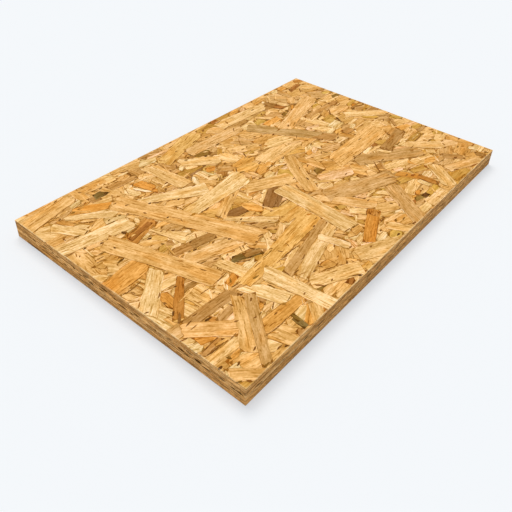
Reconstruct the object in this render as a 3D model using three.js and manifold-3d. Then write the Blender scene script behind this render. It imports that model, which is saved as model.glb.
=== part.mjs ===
// A panel of oriented strand board (OSB), lying flat: wood strands pressed crosswise into
// one board and sawn to size. Millimetres, +Z up, origin at the centre of the underside.
//
// The two pressed faces show the strands as low steps, because the press leaves the
// uppermost strand of each crossing flush and the ones below it a little deeper.
// The four sawn edges show the core, where small gaps between the strands stay open.

import * as THREE from 'three';
import { mergeVertices } from 'three/addons/utils/BufferGeometryUtils.js';
import Module from 'manifold-3d';

// The sawn board
const panelLength = 500; // along X
const panelWidth = 325; // along Y
const panelThickness = 22; // along Z
const arrisRadius = 0.8; // the saw-sharp arrises, rubbed off
const arrisSegments = 2;
const cornerRadius = 1.2; // the four upright corners
const cornerSegments = 3;

// The strands of the pressed faces
const strandStep = 0.2; // how much deeper a strand lies than the one across it
const strandLevels = 3; // steps from the flush strands down to the bed of small flakes
const strandRoot = 1; // how far a strand's solid reaches down into the bed
const splinterLength = 3.5; // how ragged a broken end is
const strandPitch = 42; // spacing of the smaller strands between the named ones
const smallStrand = { minLength: 45, maxLength: 110, minWidth: 11, maxWidth: 24 };
const underPitch = 50; // spacing of the strands of the underside
const underStrand = { minLength: 70, maxLength: 150, minWidth: 16, maxWidth: 27 };
const originStrand = { x: 0, y: 0, length: 125, width: 25, turn: 0.35 }; // flush, under the middle

// The open gaps of the core
const faceLayer = 5; // the dense layers next to both faces, without gaps
const gapPitch = 14; // spacing along the sawn edges
const gapCornerClearance = 14; // no gap nearer than this to an upright corner
const gapLength = { min: 4, max: 11 };
const gapHeight = { min: 0.8, max: 1.7 };
const gapDepth = { min: 3, max: 7 };
const gapTaper = 0.4; // size of a gap's inner end, against its mouth
const gapTilt = 0.08; // radians that a gap may lean, as the strands round it do
const gapSides = 6;

const strandWood = { color: 0xd9a762, roughness: 0.72, metalness: 0 };

// The large strands of the upper face, lowest first: the two ends of each one, across from
// the left end of the board and down from its far side, and its width.
const largeStrands = [
  { start: [333, 183], end: [446, 183], width: 28 },
  { start: [253, 200], end: [310, 137], width: 20 },
  { start: [213, 140], end: [277, 173], width: 20 },
  { start: [360, 207], end: [433, 265], width: 20 },
  { start: [403, 217], end: [463, 210], width: 15 },
  { start: [267, 217], end: [357, 260], width: 27 },
  { start: [0, 287], end: [108, 307], width: 17 },
  { start: [27, 320], end: [80, 260], width: 17 },
  { start: [287, 323], end: [340, 267], width: 20 },
  { start: [223, 303], end: [277, 280], width: 18 },
  { start: [117, 253], end: [120, 325], width: 20 },
  { start: [127, 270], end: [220, 247], width: 13 },
  { start: [0, 160], end: [47, 157], width: 27 },
  { start: [3, 73], end: [80, 100], width: 20 },
  { start: [57, 117], end: [100, 107], width: 17 },
  { start: [110, 67], end: [180, 108], width: 18 },
  { start: [300, 17], end: [397, 30], width: 17 },
  { start: [227, 37], end: [320, 47], width: 22 },
  { start: [167, 27], end: [172, 90], width: 17 },
  { start: [193, 47], end: [240, 77], width: 14 },
  { start: [360, 80], end: [463, 57], width: 20 },
  { start: [320, 50], end: [387, 157], width: 17 },
  { start: [133, 125], end: [230, 125], width: 27 },
  { start: [0, 238], end: [117, 248], width: 15 },
  { start: [77, 247], end: [223, 227], width: 20 },
  { start: [28, 103], end: [87, 223], width: 25 },
  { start: [82, 63], end: [163, 213], width: 28 },
  { start: [238, 177], end: [233, 277], width: 25 },
];

// Repeatable random numbers, from 0 to 1 and between two limits
function randomSource(seed) {
  let state = seed >>> 0;
  const next = () => {
    state = (state + 0x6d2b79f5) >>> 0;
    let mixed = Math.imul(state ^ (state >>> 15), state | 1);
    mixed ^= mixed + Math.imul(mixed ^ (mixed >>> 7), mixed | 61);
    return ((mixed ^ (mixed >>> 14)) >>> 0) / 4294967296;
  };
  return (low = 0, high = 1) => low + (high - low) * next();
}

// A seed of its own for each cell of a grid, so a longer board only gains strands
function cellSeed(column, row, family) {
  return (column + 64) * 73856093 + (row + 64) * 19349663 + family * 83492791;
}

const wasm = await Module();
wasm.setup();

function toSolid(geometry) {
  const bare = geometry.index ? geometry.toNonIndexed() : geometry.clone();
  bare.deleteAttribute('normal');
  bare.deleteAttribute('uv');
  const merged = mergeVertices(bare, 1e-5);
  return new wasm.Manifold(new wasm.Mesh({
    numProp: 3,
    vertProperties: new Float32Array(merged.attributes.position.array),
    triVerts: new Uint32Array(merged.index.array),
  }));
}

function toGeometry(solid) {
  const { vertProperties, triVerts } = solid.getMesh();
  const geometry = new THREE.BufferGeometry();
  geometry.setAttribute('position', new THREE.BufferAttribute(vertProperties, 3));
  geometry.setIndex(new THREE.BufferAttribute(triVerts, 1));
  geometry.computeVertexNormals();
  return geometry;
}

// A slab with rounded upright corners and rubbed arrises, between two heights
function slab(bottom, top, arris) {
  const halfLength = panelLength / 2;
  const halfWidth = panelWidth / 2;
  const turns = [[1, 1, 0], [-1, 1, 1], [-1, -1, 2], [1, -1, 3]];
  const outline = new THREE.Shape();
  for (const [sideX, sideY, quarter] of turns) {
    const centreX = sideX * (halfLength - cornerRadius);
    const centreY = sideY * (halfWidth - cornerRadius);
    const begin = quarter * Math.PI / 2;
    outline.absarc(centreX, centreY, cornerRadius, begin, begin + Math.PI / 2);
  }
  const geometry = new THREE.ExtrudeGeometry(outline, {
    depth: top - bottom - 2 * arris,
    curveSegments: cornerSegments,
    bevelEnabled: arris > 0,
    bevelThickness: arris,
    bevelSize: arris,
    bevelOffset: -arris,
    bevelSegments: arrisSegments,
  });
  return toSolid(geometry.translate(0, 0, bottom + arris));
}

// A strand as { x, y, length, width, turn }, from the face's far left corner
function strandBetween({ start, end, width }) {
  const along = new THREE.Vector2(end[0] - start[0], start[1] - end[1]);
  return {
    x: (start[0] + end[0]) / 2 - panelLength / 2,
    y: panelWidth / 2 - (start[1] + end[1]) / 2,
    length: along.length(),
    width,
    turn: along.angle(),
  };
}

// One strand in each cell of a square grid over the face, at a random place and turn
function scatteredStrands(family, pitch, sizes) {
  const columns = Math.ceil(panelLength / 2 / pitch);
  const rows = Math.ceil(panelWidth / 2 / pitch);
  const strands = [];
  for (let column = -columns; column < columns; column += 1) {
    for (let row = -rows; row < rows; row += 1) {
      const random = randomSource(cellSeed(column, row, family));
      strands.push({
        x: (column + random()) * pitch,
        y: (row + random()) * pitch,
        length: random(sizes.minLength, sizes.maxLength),
        width: random(sizes.minWidth, sizes.maxWidth),
        turn: random(0, Math.PI),
      });
    }
  }
  return strands;
}

// Whether two strands cross: no side of either one parts them
function cross(one, other) {
  const apart = new THREE.Vector2(other.x - one.x, other.y - one.y);
  const reach = (strand, axis) => {
    const along = new THREE.Vector2(Math.cos(strand.turn), Math.sin(strand.turn));
    return Math.abs(along.dot(axis)) * strand.length / 2
      + Math.abs(along.cross(axis)) * strand.width / 2;
  };
  return [one.turn, other.turn].every((turn) => {
    const along = new THREE.Vector2(Math.cos(turn), Math.sin(turn));
    const across = new THREE.Vector2(-along.y, along.x);
    return [along, across].every((axis) => (
      Math.abs(apart.dot(axis)) < reach(one, axis) + reach(other, axis)));
  });
}

// How many steps down each strand is pressed: one more than the deepest one across it.
// A strand below the last level has sunk into the bed and is left out.
function pressed(strands) {
  const kept = [];
  for (const strand of strands.toReversed()) {
    const above = kept.filter((other) => cross(strand, other));
    const level = Math.max(-1, ...above.map((other) => other.level)) + 1;
    if (level < strandLevels) kept.push({ ...strand, level });
  }
  return kept;
}

// A strand's outline: straight split sides and broken, splintered ends
function strandOutline({ length, width }, random) {
  const outline = [];
  for (const side of [1, -1]) {
    for (const across of [-0.5, -0.2, 0.15, 0.5]) {
      const reach = length / 2 - random(0, splinterLength);
      outline.push(new THREE.Vector2(side * reach, side * across * width));
    }
  }
  return new THREE.Shape(outline);
}

// The upper half of a face's relief: every strand as a plate that rises out of the bed
function strandRelief(strands, seed) {
  const bed = panelThickness - strandLevels * strandStep;
  return pressed(strands).map((strand, index) => {
    const random = randomSource(seed + index);
    const top = panelThickness - strand.level * strandStep;
    const plate = new THREE.ExtrudeGeometry(strandOutline(strand, random), {
      depth: top - bed + strandRoot,
      bevelEnabled: false,
    });
    plate.rotateZ(strand.turn);
    plate.translate(strand.x, strand.y, bed - strandRoot);
    return toSolid(plate);
  });
}

// The gaps of the core along one sawn edge that lies in the plane Y = 0. Each is a lens-shaped
// pocket that narrows inwards and is cut by the edge halfway, where it has its full size.
function coreGaps(edgeLength, seed) {
  const usable = edgeLength - 2 * gapCornerClearance;
  const count = Math.floor(usable / gapPitch);
  const core = panelThickness - 2 * faceLayer;
  const gaps = [];
  for (let index = 0; index < count; index += 1) {
    const random = randomSource(seed + index * 977);
    const length = random(gapLength.min, gapLength.max);
    const height = random(gapHeight.min, gapHeight.max);
    const depth = random(gapDepth.min, gapDepth.max);
    const x = (index + 0.5 - count / 2) * gapPitch + random(-0.2, 0.2) * gapPitch;
    const z = panelThickness / 2 + random(-0.5, 0.5) * core;
    const tilt = random(-gapTilt, gapTilt);
    const pocket = new THREE.CylinderGeometry(gapTaper, 2 - gapTaper, 2 * depth, gapSides);
    pocket.rotateY(Math.PI / 2);
    pocket.scale(length / 2, 1, height / 2);
    pocket.rotateY(tilt);
    pocket.translate(x, 0, z);
    gaps.push(pocket);
  }
  return gaps;
}

function buildPanel() {
  const relief = strandLevels * strandStep;
  const bed = slab(relief, panelThickness - relief, 0);
  const smallStrands = scatteredStrands(1, strandPitch, smallStrand);
  const upper = strandRelief([...smallStrands, ...largeStrands.map(strandBetween)], 11);
  const underStrands = scatteredStrands(2, underPitch, underStrand);
  const under = strandRelief([...underStrands, originStrand], 5011);
  const turnedUnder = under.map((plate) => (
    plate.rotate([180, 0, 0]).translate([0, 0, panelThickness])));
  const pressedBoard = wasm.Manifold.union([bed, ...upper, ...turnedUnder]);
  const board = pressedBoard.intersect(slab(0, panelThickness, arrisRadius));

  const sides = [
    { edgeLength: panelLength, away: panelWidth / 2, turn: 0, seed: 101 },
    { edgeLength: panelLength, away: panelWidth / 2, turn: Math.PI, seed: 20201 },
    { edgeLength: panelWidth, away: panelLength / 2, turn: Math.PI / 2, seed: 40301 },
    { edgeLength: panelWidth, away: panelLength / 2, turn: -Math.PI / 2, seed: 60401 },
  ];
  const gaps = sides.flatMap(({ edgeLength, away, turn, seed }) => (
    coreGaps(edgeLength, seed).map((gap) => (
      toSolid(gap.translate(0, -away, 0).rotateZ(turn))))));
  return board.subtract(wasm.Manifold.union(gaps));
}

const panel = new THREE.Mesh(
  toGeometry(buildPanel()),
  new THREE.MeshStandardMaterial(strandWood),
);
panel.name = 'osb_panel';

const model = new THREE.Group();
model.add(panel);

export default model;
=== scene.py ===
"""Looks of the strand board panel: pressed strands on both faces, sawn sides, a core coloured dark with
painted shade, and the studio.
"""

import math

import bmesh
import bpy
import numpy as np
from mathutils import Matrix, Vector


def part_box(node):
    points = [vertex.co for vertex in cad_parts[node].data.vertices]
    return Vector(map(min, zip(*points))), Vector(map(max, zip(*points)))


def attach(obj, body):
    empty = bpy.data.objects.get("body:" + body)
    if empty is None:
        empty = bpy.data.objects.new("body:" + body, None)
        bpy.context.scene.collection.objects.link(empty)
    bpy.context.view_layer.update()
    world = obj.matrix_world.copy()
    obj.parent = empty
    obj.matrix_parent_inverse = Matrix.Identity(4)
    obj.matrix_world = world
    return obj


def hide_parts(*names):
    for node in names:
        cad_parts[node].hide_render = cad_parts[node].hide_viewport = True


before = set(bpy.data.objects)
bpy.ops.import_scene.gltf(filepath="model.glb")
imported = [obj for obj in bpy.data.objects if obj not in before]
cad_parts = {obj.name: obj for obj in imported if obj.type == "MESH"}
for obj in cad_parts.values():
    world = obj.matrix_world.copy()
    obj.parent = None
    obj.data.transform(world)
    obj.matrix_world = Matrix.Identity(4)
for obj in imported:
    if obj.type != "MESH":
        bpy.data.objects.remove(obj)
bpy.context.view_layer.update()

MM = 0.001
NODE = "osb_panel"

panel_low, panel_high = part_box(NODE)
panel_length, panel_width, panel_thickness = (panel_high - panel_low) / MM
half_length, half_width = panel_length / 2, panel_width / 2

# Millimetres from here on, centred on the panel, z up from the floor.
ARRIS = 0.8             # eased edge between a face and a sawn side
ARRIS_RINGS = 1, 0.55, 0.22         # where it gets rings of points, as shares of its width
CORNER = 1.2            # rounding of the four upright corners
CLEARANCE = 0.03        # face strands stop this far inside the sawn sides
LONG = 45               # a longer strand goes with the strands, a shorter one with the flakes

PRESS_STEP = 0.5        # cells of the pressing grid
PRESS_MARGIN = 10.0     # how far the grid reaches past the panel
PRESS_BLUR = 6          # cells over which a strand bends down under the next one
PRESS_LIMIT = 1.0       # deepest that the press leaves a strand
LEAST_SPAN = 4          # cells that a strand spans each way, or it is left out
LEAST_OPEN = 6          # cells of it that nothing covers, or it is left out

# Wood tones, sRGB.
TONES = {
    "milk": (253, 214, 155),
    "bone": (243, 205, 140),
    "cream": (251, 207, 139),
    "pale": (249, 201, 130),
    "blush": (250, 199, 140),
    "rose": (246, 195, 125),
    "tan": (242, 189, 114),
    "gold": (239, 184, 100),
    "grey_tan": (226, 175, 107),
    "moss": (220, 174, 84),
    "amber": (237, 172, 85),
    "honey": (227, 171, 93),
    "orange": (227, 156, 68),
    "hazel": (214, 162, 93),
    "ochre": (210, 158, 73),
    "brown": (198, 145, 78),
    "rust": (206, 140, 62),
    "walnut": (180, 129, 64),
    "russet": (180, 116, 50),
    "umber": (164, 116, 62),
    "khaki": (156, 117, 50),
    "olive": (140, 112, 58),
    # painted shade: the tone of a pit's hollow
    "pit": (120, 80, 38),
}

# What the strands that no table names are made of, on the faces and in the sides, as shares.
FACE_TONES = {
    "tan": 0.25, "pale": 0.15, "gold": 0.12, "cream": 0.10, "rose": 0.11, "grey_tan": 0.08, "honey": 0.08,
    "hazel": 0.05, "amber": 0.02, "brown": 0.03, "orange": 0.005, "rust": 0.005,
}
SIDE_TONES = {"grey_tan": 0.24, "brown": 0.25, "walnut": 0.17, "tan": 0.17, "cream": 0.05, "honey": 0.12}
JOINT = "umber"         # the tone of marks that name none

NAMED_THICKNESS = 0.45, 0.65        # from and to, of the strands in a table
SPOT_THICKNESS = 0.1                # of the marks in a table
SPOT_BEND = 0.04                    # spread of a mark's bow, as a share of its length
ALONG_SPREAD = 0.5                  # how far thrown strands turn from the panel's length, in radians
THROWN_PAST = 12                    # over so much more than the panel they are thrown
POINTED, TAPERED = 0.3, 0.06        # shares of them with one narrow end and with two
GROUND_SIZE = 92, 25, 0.6           # length, width and thickness of the lowest strands
GROUND_PITCH = 62, 17               # between their places, along and across
GROUND_START, GROUND_STOP = (20, 8), (40, 12)       # how far past the panel their rows start and stop
GROUND_SHIFT = 9, 1.5               # how far each may lie from its place, along and across
GROUND_TURN = 0.06                  # spread of their turn, in radians
BORDER_SPARE = 0.2                  # plates this close to the arris are sawn too
FACE_SHARP, EDGE_SHARP = 0.7, 0.5   # angles that stay sharp, in radians

# Places in the tables are millimetres across from the short side at -x and down from the long side at +y.

# Strands of the upper face, the lowest first: start and end of the centre line, width and tone. Then, where
# they differ, the shares of that width at its two ends, and how far its middle bows.
BED = [
    # the bed, far left
    (-2, 6, 24, 4, 10, "cream"), (14, 5, 50, 3, 8, "rose"), (43, 4, 58, 8, 10, "gold"),
    (58, 0, 62, 30, 16, "tan"), (96, 8, 136, 10, 22, "pale"), (78, 6, 112, 12, 20, "tan"),
    (74, 0, 72, 44, 14, "tan"), (78, 42, 108, 50, 20, "tan"), (100, 20, 112, 62, 18, "tan"),
    (3, 36, 20, 42, 12, "tan"), (-2, 42, 22, 62, 16, "pale"), (20, 34, 36, 40, 12, "hazel"),
    (29, 36, 36, 54, 7, "honey"), (-2, 62, 20, 63, 13, "honey"), (15, 67, 30, 68, 10, "grey_tan"),
    (34, 56, 46, 72, 12, "cream"), (42, 74, 66, 70, 14, "tan"), (62, 72, 86, 80, 12, "bone"),
    (82, 56, 104, 84, 26, "tan"), (85, 82, 90, 96, 8, "pale"), (10, 88, 6, 145, 20, "tan"),
    (20, 94, 40, 98, 8, "rose"), (20, 100, 28, 112, 8, "rose"), (52, 100, 62, 106, 8, "rose"),
    (66, 103, 82, 102, 7, "bone"), (50, 24, 67, 20, 12, "bone"), (34, 30, 53, 26, 13, "hazel"),
    (50, 32, 84, 54, 15, "amber"), (104, 76, 118, 84, 14, "honey"), (83, 98, 90, 94, 7, "milk"),
    # the bed, left
    (17, 113, 28, 122, 12, "tan"), (12, 126, 38, 124, 12, "honey"), (18, 128, 28, 144, 20, "tan"),
    (26, 138, 42, 139, 8, "rose"), (-2, 134, 9, 144, 10, "cream"), (12, 139, 16, 144, 5, "milk"),
    (60, 128, 88, 144, 11, "pale"), (70, 123, 80, 124, 6, "bone"), (78, 129, 87, 143, 8, "gold"),
    (66, 140, 76, 147, 7, "rose"), (68, 151, 86, 151, 9, "ochre"), (82, 147, 92, 157, 8, "brown"),
    (76, 157, 92, 158, 5, "cream"), (88, 122, 112, 126, 14, "tan"), (92, 130, 114, 136, 15, "hazel"),
    (98, 147, 114, 150, 9, "milk"), (98, 156, 112, 162, 12, "cream"), (108, 158, 122, 166, 12, "cream"),
    (82, 196, 114, 207, 16, "grey_tan"), (4, 170, 8, 186, 8, "tan"), (13, 170, 16, 184, 8, "rose"),
    (22, 169, 22, 183, 5, "pale"), (28, 167, 29, 178, 6, "tan"), (-2, 186, 16, 194, 12, "rose"),
    (40, 177, 58, 187, 13, "tan"), (31, 188, 58, 195, 11, "cream"), (34, 204, 44, 203, 7, "cream"),
    (44, 210, 63, 211, 10, "walnut"), (8, 216, 26, 198, 8, "tan"), (12, 206, 19, 228, 10, "cream"),
    (2, 206, 8, 238, 14, "pale"), (10, 222, 12, 238, 7, "tan"), (28, 222, 32, 240, 16, "pale"),
    (50, 212, 52, 242, 26, "tan"), (64, 228, 90, 226, 8, "cream"), (62, 229, 69, 242, 9, "tan"),
    (70, 229, 74, 242, 6, "honey"), (72, 238, 81, 229, 4, "milk"), (78, 235, 94, 231, 9, "orange"),
    (104, 212, 112, 230, 10, "cream"), (103, 223, 113, 228, 8, "honey"), (102, 233, 128, 231, 12, "bone"),
    (102, 206, 136, 210, 13, "pale"), (99, 214, 109, 209, 6, "blush"),
    # the bed, near left corner
    (-2, 262, 10, 266, 15, "bone"), (0, 254, 12, 260, 9, "pale"), (62, 249, 66, 264, 7, "pale"),
    (42, 267, 60, 265, 10, "blush"), (35, 251, 39, 262, 7, "rust"), (95, 256, 107, 284, 14, "tan"),
    (69, 276, 82, 277, 8, "orange"), (66, 286, 90, 277, 6, "cream"), (74, 281, 98, 283, 7, "rose"),
    (80, 287, 98, 283, 6, "cream"), (99, 291, 112, 294, 9, "honey"), (-2, 286, 40, 287, 12, "pale"),
    (-2, 294, 14, 296, 10, "honey"), (9, 298, 28, 298, 9, "amber"), (23, 299, 34, 303, 7, "cream"),
    (12, 306, 42, 314, 18, "tan"), (-2, 306, 15, 307, 14, "bone"), (-2, 320, 14, 322, 10, "ochre"),
    (42, 308, 58, 317, 14, "cream"), (34, 322, 58, 322, 7, "honey"), (70, 300, 80, 320, 13, "tan"),
    (59, 299, 66, 330, 15, "tan"), (73, 322, 84, 322, 9, "brown"), (77, 311, 89, 328, 4, "pale"),
    (76, 309, 92, 309, 9, "cream"), (89, 310, 108, 308, 12, "bone"), (88, 323, 109, 310, 8, "orange"),
    (98, 328, 114, 311, 13, "pale"), (92, 252, 112, 252, 8, "pale"),
    # the bed, far side
    (126, 4, 172, 14, 17, "tan"), (164, 12, 186, 18, 15, "bone"), (172, 2, 198, 9, 8, "brown"),
    (177, 10, 211, 13, 5, "blush"), (104, 27, 143, 30, 10, "hazel"), (122, 24, 141, 20, 11, "rose"),
    (140, 12, 143, 27, 9, "brown"), (150, 18, 151, 36, 15, "hazel"), (127, 14, 142, 17, 4, "cream"),
    (113, 44, 122, 64, 12, "bone"), (142, 38, 160, 46, 15, "rose"), (152, 46, 152, 68, 15, "tan"),
    (144, 58, 146, 80, 14, "honey"), (148, 78, 160, 80, 8, "grey_tan"), (116, 66, 140, 68, 7, "honey"),
    (146, 70, 158, 69, 3, "cream"), (133, 38, 141, 68, 14, "orange"), (124, 47, 132, 67, 5, "milk"),
    (163, 89, 181, 90, 10, "brown"), (190, 76, 194, 94, 9, "tan"), (198, 74, 202, 110, 10, "cream"),
    (206, 78, 207, 98, 8, "bone"), (181, 90, 196, 110, 14, "tan"), (179, 95, 188, 80, 8, "milk"),
    (176, 67, 214, 70, 13, "ochre"), (180, 76, 214, 75, 3.5, "umber"), (177, 53, 200, 50, 17, "grey_tan"),
    (182, 28, 182, 52, 13, "hazel"), (187, 58, 199, 54, 8, "bone"), (194, 60, 210, 67, 9, "pale"),
    (142, 104, 157, 109, 8, "hazel"), (130, 113, 162, 113, 10, "rose"), (128, 98, 146, 108, 14, "tan"),
    (212, 4, 250, 8, 12, "rose"), (246, 12, 287, 6, 14, "tan"), (260, 22, 286, 24, 17, "honey"),
    (268, 12, 300, 12, 16, "ochre"), (298, 6, 326, 5, 9, "russet"), (281, 15, 301, 35, 17, "rose"),
    (268, 38, 304, 46, 17, "tan"), (217, 33, 236, 47, 12, "hazel"), (212, 47, 232, 48, 6, "walnut"),
    (221, 46, 247, 57, 13, "khaki"), (244, 58, 259, 49, 11, "hazel"), (239, 60, 248, 67, 9, "brown"),
    (235, 79, 260, 57, 7, "ochre"), (261, 53, 275, 82, 13, "pale"), (266, 52, 292, 62, 18, "honey"),
    (274, 77, 292, 57, 11, "tan"), (288, 58, 304, 92, 20, "grey_tan"), (246, 68, 252, 100, 20, "pale"),
    (260, 70, 284, 86, 15, "tan"), (206, 85, 223, 84, 18, "ochre"), (208, 82, 222, 88, 10, "orange"),
    (211, 105, 227, 92, 15, "walnut"), (219, 87, 234, 91, 9, "grey_tan"), (226, 92, 248, 110, 18, "grey_tan"),
    (238, 105, 272, 102, 16, "amber"), (278, 88, 312, 98, 20, "tan"), (266, 91, 281, 103, 11, "tan"),
    (269, 90, 281, 97, 7, "ochre"), (198, 96, 213, 105, 9, "cream"), (202, 107, 213, 104, 5, "ochre"),
    # the bed, middle
    (228, 112, 264, 121, 18, "gold"), (231, 116, 239, 136, 10, "grey_tan"), (240, 122, 244, 144, 6, "rose"),
    (268, 120, 346, 118, 27, "pale"), (245, 133, 276, 129, 10, "amber"), (243, 142, 263, 136, 3, "rust"),
    (244, 146, 280, 144, 12, "bone"), (261, 144, 278, 144, 9, "honey"), (258, 150, 287, 149, 6, "blush"),
    (274, 142, 289, 146, 5, "ochre"), (274, 136, 290, 146, 3, "cream"), (284, 136, 296, 137, 7, "bone"),
    (203, 141, 222, 150, 12, "tan"), (206, 144, 216, 151, 4, "cream"), (204, 135, 204, 153, 4, "brown"),
    (216, 149, 230, 153, 5, "blush"), (224, 153, 236, 153, 7, "gold"), (201, 153, 226, 155, 7, "rust"),
    (202, 166, 216, 166, 17, "rose"), (202, 174, 232, 158, 7, "cream"), (262, 150, 278, 168, 18, "moss"),
    (250, 172, 264, 192, 16, "tan"), (250, 204, 278, 214, 15, "hazel"), (270, 208, 290, 208, 17, "rose"),
    (290, 168, 312, 174, 16, "honey"), (288, 180, 312, 180, 14, "grey_tan"), (285, 178, 289, 206, 8, "brown"),
    (295, 183, 310, 183, 9, "khaki"), (308, 148, 322, 190, 18, "honey"), (306, 162, 310, 192, 5, "rose"),
    (184, 140, 196, 184, 20, "gold"), (182, 162, 196, 186, 14, "amber"), (158, 186, 182, 214, 18, "grey_tan"),
    (184, 192, 224, 208, 18, "gold"), (198, 136, 200, 162, 7, "pale"), (199, 163, 199, 194, 4, "rose"),
    (160, 155, 174, 156, 8, "moss"), (212, 184, 230, 190, 9, "blush"), (166, 176, 184, 180, 6, "honey"),
    (164, 197, 186, 207, 15, "hazel"), (178, 213, 191, 204, 3, "pale"), (144, 212, 164, 214, 9, "hazel"),
    (136, 209, 154, 234, 13, "rose"), (152, 215, 161, 231, 11, "cream"), (168, 209, 155, 223, 9, "cream"),
    (159, 223, 170, 224, 7, "grey_tan"), (168, 213, 175, 223, 6, "ochre"), (193, 212, 164, 229, 9, "rose"),
    (189, 214, 226, 214, 13, "gold"), (124, 234, 134, 227, 9, "ochre"),
    # the bed, near side
    (252, 210, 262, 238, 13, "rose"), (249, 239, 262, 250, 10, "ochre"), (248, 226, 256, 242, 9, "honey"),
    (250, 250, 258, 272, 12, "blush"), (258, 256, 272, 278, 12, "cream"), (246, 262, 250, 284, 8, "ochre"),
    (250, 268, 262, 280, 9, "rose"), (203, 252, 223, 254, 7, "gold"), (209, 265, 216, 282, 7, "hazel"),
    (215, 265, 223, 278, 7, "tan"), (211, 282, 226, 288, 11, "bone"), (214, 283, 206, 302, 7, "blush"),
    (218, 279, 230, 284, 9, "tan"), (226, 281, 242, 281, 11, "honey"), (215, 293, 228, 292, 7, "pale"),
    (210, 300, 232, 312, 9, "blush"), (230, 309, 252, 307, 7, "milk"), (245, 298, 266, 300, 11, "rose"),
    (250, 304, 266, 306, 9, "tan"), (246, 316, 266, 316, 13, "moss"), (286, 297, 300, 303, 9, "milk"),
    (278, 270, 308, 292, 24, "tan"), (284, 262, 304, 273, 15, "pale"), (285, 248, 302, 256, 11, "blush"),
    (300, 263, 314, 263, 8, "ochre"), (295, 256, 313, 257, 5, "cream"), (297, 261, 309, 273, 4, "cream"),
    (304, 275, 316, 282, 10, "blush"), (312, 261, 319, 276, 10, "pale"), (318, 264, 332, 265, 9, "moss"),
    (262, 299, 294, 305, 11, "rose"), (262, 301, 279, 330, 13, "pale"), (275, 309, 294, 314, 15, "honey"),
    (172, 300, 202, 270, 28, "honey"), (185, 276, 196, 276, 10, "pale"), (192, 303, 218, 327, 22, "tan"),
    (182, 303, 196, 324, 15, "tan"), (222, 316, 252, 328, 14, "honey"), (198, 303, 248, 328, 21, "tan"),
    (128, 263, 168, 252, 9, "pale"), (132, 275, 154, 280, 15, "rose"), (129, 283, 147, 286, 12, "rose"),
    (130, 302, 154, 303, 12, "khaki"), (131, 312, 162, 312, 13, "rose"), (134, 322, 162, 321, 10, "tan"),
    (156, 320, 167, 320, 7, "russet"), (163, 280, 168, 296, 11, "rose"), (157, 286, 178, 294, 12, "honey"),
    (178, 320, 198, 322, 11, "gold"), (181, 312, 182, 324, 6, "rust"), (120, 255, 134, 262, 8, "moss"),
    # the bed, far right
    (310, 5, 347, 5, 10, "ochre"), (336, 6, 354, 6, 9, "amber"), (362, 6, 392, 10, 15, "tan"),
    (352, 14, 365, 7, 8, "blush"), (384, 8, 414, 6, 13, "honey"), (298, 34, 340, 33, 10, "hazel"),
    (306, 48, 330, 46, 12, "bone"), (298, 40, 314, 62, 18, "honey"), (298, 62, 324, 72, 18, "tan"),
    (298, 86, 342, 87, 16, "honey"), (303, 96, 344, 108, 20, "pale"), (334, 40, 347, 72, 13, "pale"),
    (340, 50, 356, 50, 13, "moss"), (354, 40, 376, 38, 8, "ochre"), (362, 46, 388, 58, 18, "grey_tan"),
    (352, 37, 379, 70, 8, "pale"), (384, 37, 398, 58, 12, "rose"), (371, 42, 380, 44, 8, "pale"),
    (348, 66, 376, 64, 15, "amber"), (346, 72, 368, 74, 10, "rose"), (350, 78, 364, 94, 12, "tan"),
    (360, 83, 386, 90, 13, "bone"), (371, 95, 375, 110, 8, "rose"), (390, 52, 410, 54, 9, "cream"),
    (385, 63, 402, 58, 6, "khaki"), (378, 100, 412, 104, 20, "grey_tan"), (398, 94, 410, 152, 16, "pale"),
    (390, 24, 400, 15, 5, "milk"), (408, 8, 440, 6, 15, "tan"), (429, 8, 446, 8, 9, "bone"),
    (443, 7, 464, 8, 11, "amber"), (460, 8, 488, 8, 15, "tan"), (408, 13, 440, 42, 31, "grey_tan"),
    (440, 10, 445, 48, 13, "hazel"), (444, 28, 472, 34, 22, "honey"), (423, 49, 438, 37, 13, "rose"),
    (409, 33, 415, 50, 7, "pale"), (474, 23, 496, 44, 18, "pale"), (468, 40, 496, 52, 15, "honey"),
    (460, 50, 492, 76, 26, "grey_tan"), (483, 50, 500, 54, 7, "brown"), (485, 60, 495, 72, 9, "moss"),
    (434, 79, 454, 80, 10, "moss"), (420, 84, 436, 84, 9, "hazel"), (426, 86, 448, 84, 7, "rose"),
    (450, 80, 488, 79, 16, "tan"), (460, 73, 467, 82, 6, "pale"), (462, 86, 490, 88, 9, "pale"),
    (484, 80, 499, 82, 7, "khaki"), (478, 92, 504, 98, 13, "tan"), (485, 6, 502, 13, 9, "rust"),
    (402, 92, 474, 93, 9, "hazel"), (402, 99, 426, 99, 8, "pale"), (409, 109, 426, 108, 9, "bone"),
    (422, 108, 442, 100, 13, "honey"), (438, 108, 474, 110, 20, "rose"), (468, 104, 496, 108, 13, "tan"),
    (476, 113, 500, 110, 7, "moss"), (455, 22, 484, 17, 9, "russet"), (460, 91, 472, 95, 9, "brown"),
    # the bed, right
    (334, 134, 368, 132, 10, "tan"), (320, 164, 347, 174, 16, "tan"), (314, 152, 344, 163, 10, "rose"),
    (328, 147, 349, 143, 13, "bone"), (317, 153, 337, 139, 3, "cream"), (322, 151, 336, 149, 7, "orange"),
    (332, 153, 350, 146, 7, "blush"), (349, 141, 359, 164, 15, "cream"), (338, 157, 348, 172, 11, "honey"),
    (346, 158, 374, 169, 18, "grey_tan"), (361, 143, 378, 150, 7, "rose"), (374, 159, 404, 160, 14, "rose"),
    (396, 150, 402, 172, 11, "honey"), (328, 176, 354, 182, 13, "honey"), (316, 178, 338, 198, 15, "honey"),
    (308, 193, 338, 201, 15, "tan"), (310, 207, 336, 214, 16, "pale"), (331, 196, 347, 220, 9, "rose"),
    (375, 112, 394, 120, 13, "blush"), (382, 122, 406, 134, 18, "pale"), (386, 138, 404, 138, 9, "cream"),
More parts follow.
